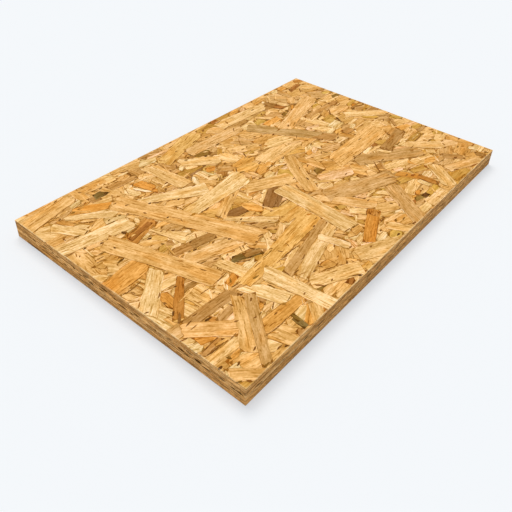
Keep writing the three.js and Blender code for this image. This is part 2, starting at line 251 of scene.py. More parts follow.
    (394, 146, 414, 148, 11, "amber"), (345, 100, 356, 128, 12, "tan"), (403, 134, 428, 130, 18, "bone"),
    (412, 118, 434, 116, 15, "ochre"), (426, 132, 456, 134, 20, "honey"), (436, 133, 449, 134, 3, "cream"),
    (426, 146, 458, 145, 7, "cream"), (428, 154, 458, 152, 13, "honey"), (410, 146, 432, 151, 9, "grey_tan"),
    (417, 156, 434, 150, 7, "bone"), (410, 168, 472, 166, 20, "tan"), (415, 166, 424, 156, 3, "cream"),
    (455, 138, 466, 164, 14, "tan"), (460, 146, 476, 164, 11, "moss"), (472, 124, 504, 124, 8, "walnut"),
    (472, 130, 498, 142, 16, "hazel"), (478, 140, 500, 133, 8, "ochre"), (482, 142, 502, 154, 13, "brown"),
    (468, 170, 492, 181, 16, "hazel"), (444, 174, 472, 181, 13, "tan"), (464, 176, 466, 202, 9, "rose"),
    (444, 188, 466, 198, 17, "honey"), (468, 190, 502, 198, 32, "tan"), (470, 196, 489, 174, 5, "brown"),
    (480, 206, 500, 214, 13, "blush"), (489, 176, 497, 192, 9, "moss"), (464, 204, 486, 213, 13, "amber"),
    (422, 203, 442, 199, 9, "rose"), (398, 200, 416, 202, 9, "russet"), (408, 200, 424, 210, 11, "ochre"),
    (440, 204, 464, 200, 9, "hazel"), (376, 202, 394, 202, 7, "cream"),
    # the bed, near right corner
    (306, 219, 330, 214, 7, "ochre"), (310, 224, 330, 232, 10, "cream"), (322, 228, 340, 229, 9, "brown"),
    (333, 208, 347, 242, 20, "tan"), (335, 232, 352, 236, 13, "rose"), (349, 214, 352, 242, 9, "tan"),
    (352, 221, 368, 222, 14, "cream"), (361, 213, 374, 220, 9, "grey_tan"), (366, 242, 384, 235, 8, "gold"),
    (360, 246, 402, 254, 22, "pale"), (365, 252, 378, 258, 7, "blush"), (332, 291, 372, 281, 15, "pale"),
    (342, 301, 368, 300, 13, "tan"), (338, 298, 348, 296, 6, "orange"), (366, 284, 368, 314, 8, "cream"),
    (328, 317, 374, 318, 15, "rose"), (344, 308, 374, 307, 9, "moss"), (308, 317, 332, 318, 11, "cream"),
    (370, 316, 388, 318, 14, "honey"), (384, 324, 412, 310, 16, "ochre"), (380, 261, 400, 265, 9, "grey_tan"),
    (379, 288, 394, 286, 12, "milk"), (399, 254, 407, 280, 14, "amber"), (462, 215, 500, 219, 13, "tan"),
    (478, 216, 499, 221, 9, "ochre"), (474, 232, 502, 247, 26, "tan"), (476, 227, 502, 227, 6, "brown"),
    (487, 244, 501, 251, 9, "moss"), (446, 226, 478, 222, 13, "rose"), (446, 232, 476, 232, 11, "ochre"),
    (450, 231.5, 473, 231, 2, "cream"), (410, 228, 430, 241, 15, "blush"), (425, 228, 442, 229, 13, "cream"),
    (439, 221, 448, 227, 6, "pale"), (423, 262, 442, 264, 15, "ochre"), (437, 259, 449, 280, 11, "pale"),
    (445, 270, 454, 276, 9, "pale"), (398, 264, 432, 273, 24, "tan"), (412, 270, 434, 283, 11, "amber"),
    (416, 284, 442, 284, 9, "hazel"), (410, 294, 442, 292, 13, "grey_tan"), (445, 285, 480, 265, 18, "hazel"),
    (468, 264, 492, 281, 20, "rose"), (458, 296, 494, 291, 22, "honey"), (464, 252, 478, 262, 9, "ochre"),
    (472, 254, 498, 263, 13, "tan"), (488, 262, 500, 302, 11, "honey"), (482, 302, 501, 308, 11, "bone"),
    (460, 308, 484, 321, 18, "honey"), (398, 316, 434, 318, 17, "ochre"), (475, 311, 480, 323, 9, "walnut"),
    (482, 312, 500, 310, 7, "pale"),
    # chips among the large strands
    (74, 31, 87, 32, 12, "brown"), (82, 29, 97, 28.5, 12, "olive"), (57, 118, 98, 107, 17, "rust"),
    (60, 116, 94, 109, 7, "russet"), (72, 163, 100, 169, 13, "brown"), (96, 168, 126, 174, 13, "walnut"),
    (107, 214, 138, 227, 9, "olive"), (120, 219, 138, 227, 7, "walnut"), (109, 221, 121, 227, 3, "grey_tan"),
    (156, 161, 181, 168, 14, "umber"), (206, 190, 228, 180, 10, "umber"), (201, 184, 239, 166, 15, "umber"),
    (29, 196, 25, 221, 11, "orange"), (57, 193, 14, 234, 9.5, "rust", 0.8, 1.1),
    (1, 276, 26, 274, 6, "brown"), (8, 261, 23, 270, 12, "orange", 1.1, 0.3), (39, 260, 61, 257, 9, "brown"),
    (87, 308, 85, 322, 8, "olive"), (89, 303, 87, 314, 6, "khaki", 0.5, 1), (319, 302, 334, 304, 5, "russet"),
    (318, 308, 334, 309, 8, "hazel"), (327, 302, 344, 306, 7, "khaki"), (339, 306, 349, 307, 7, "pit"),
    (357, 241, 371, 225, 11, "brown"), (403, 154, 421, 156, 12, "brown"), (440, 282, 456, 303, 12, "brown"),
    (397, 19, 404, 50, 13, "walnut"), (400, 36, 404, 50, 10, "russet"), (50, 293, 112, 296, 17, "amber"),
    (224, 302, 277, 277, 16, "orange"), (268, 281, 278, 277, 13, "rust"), (342, 267, 374, 276, 12, "ochre"),
    (361, 258, 377, 285, 12, "orange"), (375, 280, 377, 307, 10, "rust"), (378, 269, 403, 278, 11, "ochre"),
]
LARGE = [
    (-8, 23, 62, 10, 23, "tan"), (17, 40, 38, 75, 15, "pale"), (35, 37, 82, 69, 17, "cream", 0.35, 1.05),
    (106, 70, 182, 110, 20, "cream", 0.45, 1.2), (183, 33, 262, 9, 22, "gold"),
    (166, 22, 170, 88, 19, "pale"), (197, 46, 238, 78, 18, "cream"),
    (222, 38, 318, 42, 20, "rose", 1.05, 0.8), (298, 18, 390, 25, 21, "pale"),
    (323, 50, 385, 153, 20, "hazel"), (371, 132, 384, 153, 19, "brown", 0.9, 1),
    (355, 88, 461, 57, 21, "rose"), (449, 125, 498, 168, 16, "pale"), (332, 187, 448, 182, 27, "tan"),
    (352, 205, 432, 255, 25, "hazel"), (394, 210, 400, 228, 7, "cream"), (403, 218, 463, 208, 15, "brown"),
    (434, 231, 467, 269, 18, "cream"), (414, 299, 468, 323, 16, "rose"), (412, 282, 383, 320, 20, "pale"),
    (286, 196, 330, 214, 19, "blush"), (276, 193, 303, 216, 4, "cream"), (262, 222, 351, 256, 27, "grey_tan"),
    (262, 231, 287, 274, 18, "rose"), (334, 265, 295, 328, 21, "grey_tan"), (-8, 77, 81, 93.5, 20, "cream"),
    (-4, 158, 48, 152, 25, "amber"), (0, 208, 48, 169, 19, "cream"), (-8, 240, 17, 242, 15, "grey_tan"),
    (72, 246, 102, 246, 11, "hazel"), (13, 242, 75, 245, 14, "brown"),
    (86, 119, 102, 159, 19, "cream", 0.2, 1), (89, 249, 102, 291, 18, "cream"),
    (96, 205, 103, 241, 14, "cream"), (74, 180, 136, 200, 18, "rose"), (212, 141, 268, 169, 24, "tan"),
    (152, 162, 191, 208, 12, "cream", 0.5, 1.1), (150, 159, 207, 131, 14, "tan"),
    (88, 246, 224, 230, 24, "gold", 0.6, 1), (127, 268, 223, 246, 12, "hazel"),
    (133, 281, 223, 257, 15, "pale", 1.1, 0.8), (132, 292, 186, 317, 18, "pale"),
    (115, 249, 124, 328, 20, "cream"), (196, 256, 205, 291, 11, "milk"),
    (132, 127.5, 231, 123.5, 26, "pale", 0.75, 1.02), (260, 204, 302, 136, 20, "tan"),
    (240, 171, 233, 276, 25, "pale"), (73, 251, 31, 304, 16, "tan", 0.8, 1.1),
    (83, 258, 30, 323, 11, "hazel"), (9, 243, 43.5, 277, 21, "rose"), (1, 305, 25, 331, 14, "tan"),
    (40, 100, 78, 224, 25, "tan"), (90, 52, 153, 214, 29, "tan", 0.9, 0.95, 2),
]

# Pits, knots and dark joints that show on top, drawn as flat dark marks: a pit, or the shadow beside a curled
# chip, is painted shade. Place, length, width, turn clockwise in degrees, and tone.
SPOTS = [
    (18, 18.5, 30, 1.5, -9, "brown"), (48, 4, 6, 3, -20), (77, 9, 4, 3, 60), (66, 16, 4, 2, -60, "brown"),
    (88, 13, 5, 2, 10, "brown"), (68, 30.5, 5, 4, -30, "rust"), (99, 19, 6, 2.5, -20),
    (95.5, 31, 4, 3, -40, "pit"), (90, 55, 4, 3, 0), (49, 35, 5, 3, 0, "khaki"), (32, 35, 4, 2.5, -20),
    (38, 50, 7, 1.8, 65, "brown"), (46, 57, 10, 2.2, 45, "brown"), (52, 62.5, 5, 3, 20),
    (52, 67, 14, 1.3, -30, "brown"), (38.5, 66, 9, 1.5, 65, "brown"), (38, 73, 7, 1.8, -25, "khaki"),
    (28, 71.5, 7, 2.5, 20, "khaki"), (15.5, 66, 5, 2, 85), (66, 79, 9, 2.5, 8, "khaki"),
    (66.5, 74, 4, 2, -20, "khaki"), (80, 75.5, 3.5, 3, 0, "khaki"), (87, 80, 3.5, 3, 0), (97, 67, 4.5, 3, 10),
    (101, 92.5, 4, 3, 80), (5, 90, 11, 1.6, 3), (9, 95, 7, 1.5, -65, "brown"), (10, 99, 3, 2, -50),
    (21, 93, 3.2, 2.8, 0, "pit"), (37.5, 98.5, 3.5, 2.8, 0, "pit"), (45, 98, 3, 2, -20, "khaki"),
    (63.5, 102, 6, 5, 80, "pit"), (75, 106, 14, 2, -14), (41.5, 114, 3.4, 2.6, 80, "pit"),
    (21, 115.5, 10, 1.6, 8), (20, 120, 9, 1.6, 10), (28, 111, 8, 2, 10, "khaki"),
    (33, 134, 9, 4, -8, "khaki"), (74.5, 129, 5, 4, 10, "pit"), (91.5, 129, 4, 2.5, -10),
    (101, 137, 4, 3, 20), (97, 133, 10, 2, -15, "brown"), (106, 154.5, 8, 2.2, 10, "khaki"),
    (78, 145, 4, 3, 60, "khaki"), (94, 176, 4.5, 3, 10, "pit"), (87.5, 174, 3.5, 2, 15),
    (72, 177.5, 6, 5, 60, "brown"), (11.5, 177, 5, 2, 75), (20.5, 175, 11, 1.8, 85, "brown"),
    (50, 180.5, 4, 3, 20), (43.5, 200, 3.5, 2.2, 20, "pit"), (3, 205, 5, 2, 20),
    (5, 193, 8, 1.8, -40, "brown"), (25, 197, 8, 2, -35), (22, 208.5, 4, 3, 80), (77.5, 203, 8, 1.5, 75),
    (86, 195.5, 7, 1.8, 12, "khaki"), (97.5, 201.5, 6, 2.2, 15), (14, 170.5, 27, 1.5, -3),
    (18.5, 223.5, 6, 3, -40, "pit"), (18, 231, 13, 3.5, -42), (57, 224.7, 11, 1.5, 3),
    (44, 231, 4, 3, 30, "brown"), (62, 232, 3, 2, 0), (64, 237, 3, 2, 0), (84, 233, 7, 2, -50, "khaki"),
    (79, 224, 22, 1.6, -5), (34, 251, 7, 3, 10, "pit"), (61, 255, 7, 1.5, 85), (77, 253, 3.6, 3.4, 0, "pit"),
    (44, 252, 7, 3.5, 0, "milk"), (78, 264, 5, 3, -30), (63.5, 281, 3, 3, 0), (19, 242, 8, 1.8, -10),
    (19, 248.5, 8, 1.4, 0), (30, 238.5, 6, 2, 5), (104, 248, 7, 3, 5, "khaki"), (84, 240.5, 12, 1.5, 8),
    (104, 267, 9, 2.5, 85, "khaki"), (82, 277, 4, 2, -20), (70, 281.5, 5, 2, -10, "khaki"),
    (86, 284, 10, 1.6, -30), (79.5, 292, 5, 2, 0), (68, 301.6, 32, 1.2, 2), (103, 289, 8, 1.6, -15, "khaki"),
    (2, 295.5, 4.5, 4.5, 0, "pit"), (14.5, 294, 4, 3.5, 70, "khaki"), (15, 303.5, 5, 2, -20, "pit"),
    (3, 252, 7, 1.8, 20, "russet"), (8, 321.5, 5, 3, 60), (2, 316, 5, 3, 30, "khaki"), (51, 318.7, 6, 2, 0),
    (56, 322, 3.5, 2.5, 20, "pit"), (30, 322, 6, 3, 0, "khaki"), (36, 303.5, 5, 2, -20),
    (34, 281, 10, 1.6, -8), (49, 271.5, 4, 2.5, 30), (14, 273, 22, 1.4, -5), (14, 279, 20, 1.6, 2),
    (117, 296.5, 4, 2.2, -20), (136, 11.5, 5, 3, 45), (124, 17.5, 3.5, 3, 0, "brown"),
    (124, 6, 14, 1.4, 30, "brown"), (140, 20, 7, 2.5, 85), (141, 31.5, 4, 2.5, 0), (155, 31.5, 4, 3, 0),
    (190.5, 17.5, 5, 4, 20), (162, 21.5, 4, 2, -15, "khaki"), (175, 28.5, 4.5, 3, 20),
    (169, 25, 6, 3, 10, "ochre"), (187, 28, 9, 2.5, 55, "brown"), (197, 39.5, 9, 2.2, -20),
    (189, 50, 10, 2, -55), (128.5, 40.7, 6, 1.8, -30, "khaki"), (115, 45, 16, 1.4, -68, "brown"),
    (138.5, 64.8, 6, 3, -8, "russet"), (157, 66.8, 5, 2.6, -5), (155, 72.6, 6, 2, 5), (147, 76, 5, 3, -45),
    (120, 67, 7, 2, 10), (132, 70.5, 8, 2, 0, "russet"), (116.5, 83, 3.4, 3.2, 0, "pit"),
    (122, 86.5, 7, 2, 45), (143.3, 101, 4, 3.4, 0, "pit"), (139.5, 97.5, 4, 2, 40),
    (151, 105.5, 12, 2.4, 38, "brown"), (174.5, 94, 6, 3, 5), (185, 80.5, 12, 1.6, -38),
    (182, 77, 6, 2.5, -10), (206, 107, 9, 2, -35), (208, 48, 4.5, 4, 30, "khaki"), (214, 24, 3.2, 2.8, 0),
    (247, 23.5, 9, 2.4, -12), (248, 9.5, 14, 1.8, -22, "brown"), (224, 2.5, 5, 3, 0), (222, 32, 3.2, 3.2, 0),
    (276, 11.5, 6, 4, -40), (274, 28, 5, 2.5, -60), (266.5, 27, 5, 3, 0, "khaki"), (297, 3, 5, 3, 0, "khaki"),
    (307, 9.5, 14, 2.5, 0), (314.5, 19, 8, 3.5, -70, "brown"), (306.5, 40, 10, 2.6, -45),
    (232, 59, 4.6, 4.2, 0, "pit"), (240.5, 57, 6, 2.5, 0), (257, 53, 4, 2.5, -50, "brown"),
    (263, 50.3, 5.5, 2.6, -5, "khaki"), (252.8, 69.8, 3, 2.2, -30), (235.3, 87.5, 3.2, 3, 0),
    (225, 86, 16, 2, -28, "brown"), (214.5, 73, 4, 3, 60), (216, 107.5, 10, 1.8, 0),
    (234, 108.5, 10, 2.2, -48), (267, 93, 12, 2.5, -62), (268, 101.5, 9, 2.2, 15), (275.5, 82.3, 6, 2.2, 0),
    (299, 92.3, 3.2, 3, 0), (303, 98, 5, 4, 60, "orange"), (288, 67, 18, 1.6, -52, "brown"),
    (265, 119.6, 6, 2, -10), (254, 124.8, 12, 1.6, -20, "brown"), (238.5, 142, 5, 4, 0),
    (234.5, 117, 8, 2, 10, "khaki"), (266, 135.3, 16, 2, -3, "khaki"), (272, 133, 5, 2, -30),
    (294.5, 133.5, 5, 2.6, -25, "pit"), (283.5, 145, 8, 2.4, 10), (216.5, 162.5, 6, 2, 88, "khaki"),
    (218, 192.5, 14, 1.6, -6), (250.5, 174.5, 4, 3, 80), (256, 185, 8, 2.6, -62),
    (277.3, 184, 6, 2.8, -68, "pit"), (289.5, 163, 4, 1.8, -35), (266.5, 171.2, 4.5, 2.2, -10),
    (255.5, 204, 5.5, 3, 10), (274, 200, 9, 1.8, -42), (301, 167, 5, 2.5, -30), (300, 187.7, 5, 2.4, 0),
    (306.5, 188, 5, 2.2, 10), (197, 192.3, 3.6, 3.2, 0), (186, 186, 4, 2, -5, "russet"),
    (195, 182, 6, 2, -40), (163.5, 177.5, 4.4, 2.6, -15, "pit"), (171.5, 183, 5, 2.4, 15, "brown"),
    (166, 191, 12, 2.5, 38), (169.5, 206, 5.5, 3, 15), (181.5, 203, 4, 3, 40, "brown"),
    (188, 207, 6, 1.8, 60, "brown"), (112.4, 116.3, 3.4, 3.2, 0, "pit"), (117.5, 123, 14, 1.6, 62, "brown"),
    (118.8, 131.5, 5, 2, -75), (113.5, 147, 8, 2, 55), (110.5, 161, 7, 2.2, -58, "brown"),
    (132.5, 113, 10, 1.6, 78), (134.5, 133, 7, 6, 0, "ochre"), (145, 136.7, 3.2, 2.4, -20),
    (152, 136.6, 7, 1.8, -5), (147, 117.8, 22, 1.3, 2, "brown"), (150.5, 157, 7, 2, 70),
    (159.5, 157, 6, 2, -40), (191.5, 141.3, 5, 2, -25), (130, 190.5, 4, 3, 20, "pit"),
    (114, 182, 4, 1.8, -40), (110, 205.4, 3.4, 2.8, -20), (102.5, 206, 6, 1.8, -60, "khaki"),
    (126, 210, 8, 1.4, -62, "khaki"), (129.5, 210, 7, 1.4, -62, "khaki"), (133.5, 215, 8, 1.4, 88),
    (145, 214.5, 3, 3, 0), (156.5, 211, 7, 3, 10), (160, 226, 6, 2, 60), (175, 216, 3, 2.6, 0),
    (192.5, 216.5, 4, 2.4, 70), (146.5, 232.5, 4.5, 2.6, 20), (123, 225.3, 3.4, 2.8, 10, "pit"),
    (113.5, 224.5, 13, 1.8, 38), (119, 238, 12, 1.4, -3, "brown"), (138, 235, 16, 1.5, -4, "khaki"),
    (113, 242.6, 9, 1.4, 0, "brown"), (150.3, 242, 6, 2, 60), (162.8, 241, 7, 1.6, -75, "brown"),
    (156, 250.8, 30, 1.2, 0), (207, 243.5, 4.5, 3, -10), (219.5, 237.2, 5, 1.6, 0),
    (220.5, 227, 6, 4, 30, "orange"), (128.3, 268, 8, 2, -78), (137, 272.8, 7, 1.8, -2),
    (159, 264.5, 8, 1.6, -18), (138, 278.5, 14, 1.4, 20, "brown"), (138, 287.5, 18, 1.4, -25, "brown"),
    (149.5, 285.3, 4, 2, 0), (162, 281, 5, 2.4, -30), (158.5, 286, 6, 2, 70),
    (172.5, 291, 12, 1.6, 88, "brown"), (182.5, 290.3, 4, 2, -10, "brown"), (181.5, 302, 5, 2.6, -40),
    (136, 301, 11, 2.5, 55), (150, 305.5, 4, 2.4, -20), (171, 318.5, 14, 1.8, 32),
    (174.3, 322, 4.5, 3.4, 40, "pit"), (187, 306, 6, 1.6, 85, "brown"), (192, 310, 5, 2, 80, "brown"),
    (203.8, 292, 4.5, 2, 0), (209.5, 284, 8, 2.2, 80, "khaki"), (194.5, 278.5, 5, 2.4, -30),
    (218, 264, 4, 2, 0), (225, 274, 12, 1.8, 6), (238, 276.8, 10, 1.6, 6, "khaki"),
    (252, 279.3, 4.4, 3, -20, "russet"), (252, 243, 7, 4, -70, "khaki"), (283.5, 245, 3.4, 3, 0),
    (286, 251, 11, 1.8, 70), (288.5, 257, 3.4, 2.6, 0), (288.5, 262, 5, 2.4, 0),
    (269, 272.5, 12, 1.8, -24, "russet"), (249.2, 301.3, 3.4, 2.2, -25, "pit"), (268, 293, 9, 2, -5),
    (272.5, 291, 4, 2.5, 60), (256.5, 318.8, 5.5, 2.8, 0, "pit"), (276.5, 305, 4.5, 3, -30, "khaki"),
    (285, 309.5, 7, 2, -10, "khaki"), (219, 307.3, 4, 2.2, 5), (301.3, 284.8, 4, 3, 70, "khaki"),
    (305, 293, 6, 2, -35), (286.5, 321.5, 6, 3, 10), (333, 6.3, 4, 2.6, -10), (386, 15, 5, 4.5, -40, "brown"),
    (368.5, 21, 7, 2.4, -5, "khaki"), (368.8, 43.5, 4.5, 3.6, -50), (366.5, 38.3, 6, 2.4, -35),
    (371, 69, 5, 2.4, -10), (380.3, 66, 7, 2.6, -80, "ochre"), (311, 72.6, 5, 4, 0, "walnut"),
    (333, 87, 6, 3, -15), (348.5, 84, 8, 4, -10, "walnut"), (366.5, 87, 6, 3, -30),
    (376, 89.5, 12, 1.8, -22, "khaki"), (382.5, 102.2, 5, 2.4, -40, "walnut"),
    (322, 117, 6, 2.6, -70, "ochre"), (327, 137.5, 7, 2.8, 40, "walnut"), (346.5, 139.6, 7, 2.6, -22),
    (366, 143, 6.5, 2.4, 0), (350, 113.5, 7, 2.2, -35, "walnut"), (339, 161.3, 5, 2.6, -40),
    (343, 164.5, 7, 3, 80, "khaki"), (372.5, 169, 5.5, 2.4, -10, "khaki"), (378.2, 155, 4.5, 3.2, 0),
    (386, 155.5, 6, 2.6, -20), (394, 149.5, 7, 3, -15), (335.5, 181, 5, 3, 10, "khaki"),
    (402.5, 179.7, 8, 2.2, -3, "khaki"), (374, 199.6, 42, 1.2, -2), (357.5, 201, 6, 2.4, -15, "khaki"),
    (318, 213, 6, 2.2, -12), (358, 232, 27, 2.2, -48), (372, 228, 6, 2.4, 60),
    (354, 219, 9, 1.8, -75, "khaki"), (377.5, 229, 6, 2.4, 0, "khaki"), (406, 218.3, 3.6, 3.2, 0),
    (407, 226.5, 6, 3, -20), (396, 246, 7, 4, 40, "walnut"), (348.5, 257, 10, 3, 30),
    (330, 262.3, 3.4, 2.2, 0, "khaki"), (345.5, 271, 5, 2.4, -5), (366.8, 269, 5, 3, -5),
    (372, 275, 7, 5, 20, "russet"), (382, 264.3, 12, 1.8, -5, "brown"), (400.5, 278, 7, 3.4, -60, "russet"),
    (352.5, 298, 5, 2.2, -45), (351, 320, 5, 3, 60, "brown"), (377, 305, 8, 3, -42),
    (419, 4.5, 8, 4, 10, "walnut"), (468, 31.5, 14, 2, -45, "walnut"), (459, 20.5, 6, 4, 0),
    (463, 54, 9, 3, -58, "cream"), (420, 83.5, 7, 3.5, 15, "khaki"), (452, 72.3, 8, 2.4, -18, "khaki"),
    (463.5, 68.5, 6.5, 3, 0, "khaki"), (487.5, 49.5, 7, 3.5, -10, "walnut"), (469.5, 100.8, 11, 2.8, -3),
    (416.5, 103, 16, 2, -18, "khaki"), (440, 105, 19, 3, -42), (495, 105, 6, 3, 0),
    (430.5, 126.5, 11, 5, -62, "pit"), (427, 133.5, 4, 2.4, -50), (472, 124.8, 7, 3.6, -20, "khaki"),
    (496, 127, 4, 4, 0, "pit"), (405.5, 149.3, 7, 2.6, -5, "russet"), (436, 161, 12, 2, 5, "walnut"),
    (470.5, 164.5, 7, 4, 0, "walnut"), (473, 175.3, 7, 2.8, -32), (494, 168.8, 8, 4, 15, "walnut"),
    (441.5, 200.5, 7, 3, -82), (457, 213, 12, 2.5, -5, "walnut"), (404, 214, 5, 4, -20, "walnut"),
    (497, 151.5, 4, 4, 0, "russet"), (429, 223.3, 9, 2.4, -8, "khaki"), (453, 217.5, 16, 2, -15, "walnut"),
    (478, 215, 4, 4, 60, "khaki"), (497, 228.5, 4, 3.4, 0), (494, 238, 7, 4, 40, "walnut"),
    (460, 235.3, 26, 2.4, -5), (471.8, 231.5, 8, 2.4, 80), (433.5, 241.2, 9, 2.2, -6, "walnut"),
    (424, 245.5, 7, 4, 10, "walnut"), (412, 257.5, 7, 3.6, 20, "walnut"), (464, 250.5, 8, 2.6, 0, "khaki"),
    (462, 274.8, 5, 2.6, -10, "walnut"), (469, 269.5, 6, 2.6, -60, "walnut"),
    (486, 263.5, 7, 2.6, -30, "walnut"), (475.5, 286.3, 6, 2.2, -12, "khaki"), (497, 278.5, 6, 3, 0),
    (494, 299.8, 9, 3, 0, "russet"), (447, 296.5, 6, 5, 0), (428.5, 286.5, 7, 2.4, 10, "khaki"),
    (421, 309.3, 8, 2.6, 28), (488.5, 320, 5, 4, 80), (477, 322, 14, 2, 0), (447, 321.5, 14, 3, 15, "russet"),
]

# Voids in the two near sawn sides: place along the side, depth as a share of the thickness, length, height.
VOIDS = {
    "left": [
        (14, 0.53, 6, 0.9), (25, 0.44, 11, 1.2), (34.5, 0.43, 6, 1.8), (52, 0.44, 8, 1.2), (65, 0.33, 3, 1.4),
        (74.5, 0.38, 6, 2.0), (86.5, 0.52, 6, 1.5), (96, 0.55, 5, 0.8), (100, 0.31, 4, 1.9),
        (110.5, 0.47, 7, 1.5), (119, 0.35, 7, 1.9), (127.5, 0.49, 6, 1.8), (142.5, 0.48, 8, 2.0),
        (149.5, 0.26, 7, 2.0), (163, 0.38, 5.5, 2.4), (174, 0.52, 13, 1.6), (185.5, 0.55, 6, 1.9),
        (195, 0.38, 9, 1.6), (202, 0.5, 5, 0.9), (218.5, 0.45, 5, 1.6), (237, 0.37, 9, 1.2),
        (250.5, 0.45, 10, 2.2), (260, 0.55, 7, 1.8), (261, 0.32, 6, 1.2), (271.5, 0.44, 9, 2.6),
        (281, 0.5, 9, 1.8), (299, 0.43, 9, 2.0), (312, 0.48, 6, 1.6), (320, 0.45, 6, 2.7),
    ],
    "near": [
        (15.5, 0.42, 11, 1.5), (40, 0.41, 8, 1.4), (50, 0.43, 9, 1.4), (80, 0.47, 7, 2.2),
        (104, 0.4, 13, 1.1), (189, 0.34, 10, 1.8), (207, 0.42, 10, 1.6), (243, 0.33, 12, 1.5),
        (265, 0.6, 6, 0.9), (276, 0.33, 8, 0.9), (303, 0.35, 8, 1.5), (346, 0.4, 6, 1.1), (380, 0.5, 6, 0.8),
        (425, 0.35, 7, 0.9), (466, 0.4, 6, 0.9),
    ],
}


def linear(rgb):
    """Linear light of an sRGB colour."""
    share = np.asarray(rgb, float) / 255
    return np.where(share <= 0.04045, share / 12.92, ((share + 0.055) / 1.055) ** 2.4)


def any_tone(rng, shares):
    """The name of a tone, drawn by its share."""
    return str(rng.choice(list(shares), p=list(shares.values())))


def starts_of(sizes):
    """Where each face's loops start."""
    return np.cumsum(sizes) - sizes


def plate_faces(columns, rows):
    """A closed plate: the count of points of its upper grid, the ring round them, and its loops and sizes."""
    across = rows + 1
    upper = (columns + 1) * across
    ring = [c * across for c in range(columns + 1)]
    ring += [columns * across + r for r in range(1, across)]
    ring += [c * across + rows for c in range(columns - 1, -1, -1)]
    ring += list(range(rows - 1, 0, -1))
    back = {vertex: upper + place for place, vertex in enumerate(ring)}

    first = [back[r] for r in range(across)]
    faces = [first + [back[across + rows], back[across]]]
    for a in range(across, (columns - 1) * across, across):
        faces.append([back[a], back[a + rows], back[a + across + rows], back[a + across]])
    last = [back[columns * across + r] for r in range(across)]
    faces.append(last[::-1] + [back[(columns - 1) * across], back[(columns - 1) * across + rows]])

    for vertex, after in zip(ring, ring[1:] + ring[:1]):
        faces.append([vertex, back[vertex], back[after], after])
    for c in range(columns):
        for a in range(c * across, c * across + rows):
            faces.append([a, a + across, a + across + 1, a + 1])
    return upper, np.array(ring), np.concatenate(faces), np.array([len(face) for face in faces])


class Strand:
    """One flake: a thin plate along the grain, with nearly straight split sides and cut or broken ends."""

    cell_length, cell_width = 4.5, 4    # of its grid
    cells_across = 2, 6                 # least and most
    end_shares = 0.86, 1.04             # an end's width against the strand's, where the table gives none
    swell, nicks = 0.06, 0.024          # its width swells in a wave, and differs from cell to cell
    least_half = 0.12                   # least half width, as a share of the width
    bend = 0.006                        # spread of its bow, as a share of the length
    slant_short, slant_long = 0.4, 0.17  # spread of how askew its ends are cut
    ragged, most_ragged = 0.045, 0.8    # spread of an end's tears, as a share of the width, and at most
    deepest_cut = 0.25                  # as a share of the length
    light_short, light_long = 1.052, 1.02
    light_spread = warmth_spread = 0.025

    def __init__(self, rng, start, end, width, tone, thickness, ends=None, bow=None):
        self.start, end = np.asarray(start, float), np.asarray(end, float)
        span = end - self.start
        self.length = float(np.hypot(*span))
        self.along = span / self.length
        self.across = np.array([-self.along[1], self.along[0]])
        self.thickness = thickness
        self.columns = int(max(2, round(self.length / self.cell_length)))
        self.rows = int(np.clip(round(width / self.cell_width), *self.cells_across))
        self.stations = np.linspace(0, 1, self.columns + 1)
        self.side = np.linspace(-1, 1, self.rows + 1)
        self.half = np.maximum(width / 2 * self.profile(rng, ends), self.least_half * width)
        self.bow = rng.normal(0, self.bend) * self.length if bow is None else bow
        self.cuts = [self.cut(rng, width) for _ in range(2)]
        warmth = rng.normal(0, self.warmth_spread)
        light = rng.normal(self.light_long if self.length > LONG else self.light_short, self.light_spread)
        self.tone = linear(TONES[tone]) * light * (1, 1.003 - warmth, 1.065 - 2.5 * warmth)
        self.seed = rng.uniform(0, 400)

    def profile(self, rng, ends):
        """Share of the half width at each station."""
        first, last = ends or (rng.uniform(*self.end_shares), rng.uniform(*self.end_shares))
        wave = np.sin(math.pi * self.stations * rng.uniform(0.6, 2.4) + rng.uniform(0, 6))
        return (first + (last - first) * self.stations) * (1 + self.swell * wave) + rng.normal(
            0, self.nicks, self.columns + 1)

    def cut(self, rng, width):
        """How far an end is cut back or left long, at each row across."""
        slant = rng.normal(0, self.slant_short if self.length < LONG else self.slant_long)
        tears = rng.normal(0, min(self.most_ragged, self.ragged * width), self.rows + 1)
        most = self.deepest_cut * self.length
        return np.clip(slant * width / 2 * self.side + tears, -most, most)

    def shape(self, distance):
        """Half width and bow at a distance along the strand."""
        share = np.clip(distance / self.length, 0, 1)
        return np.interp(share, self.stations, self.half), self.bow * 4 * share * (1 - share)

    def covers(self, x, y):
        """Whether the strand lies over these places."""
        dx, dy = x - self.start[0], y - self.start[1]
        distance = dx * self.along[0] + dy * self.along[1]
        half, bow = self.shape(distance)
        side = (dx * self.across[0] + dy * self.across[1] - bow) / half
        low = np.interp(side, self.side, self.cuts[0])
        high = self.length + np.interp(side, self.side, self.cuts[1])
        return (np.abs(side) <= 1) & (distance >= low) & (distance <= high)

    def corners(self):
        """Corners of a box along the strand that holds all of it."""
        reach = self.half.max() + abs(self.bow)
        low, high = self.cuts[0].min(), self.length + self.cuts[1].max()
        return np.array([self.start + self.along * a + self.across * b
                         for a in (low, high) for b in (-reach, reach)])

    def plan(self):
        """Points of the upper grid, column by column, with the way along, sideways and to the rim of each."""
        low, high = self.cuts[0][None, :], self.length + self.cuts[1][None, :]
        distance = low + (high - low) * self.stations[:, None]
        half, bow = self.shape(distance)
        sideways = self.side[None, :] * half
        points = self.start + distance[..., None] * self.along + (sideways + bow)[..., None] * self.across
        rim = np.minimum(half - np.abs(sideways), np.minimum(distance - low, high - distance))
        return points.reshape(-1, 2), distance.ravel(), sideways.ravel(), np.maximum(rim, 0).ravel()


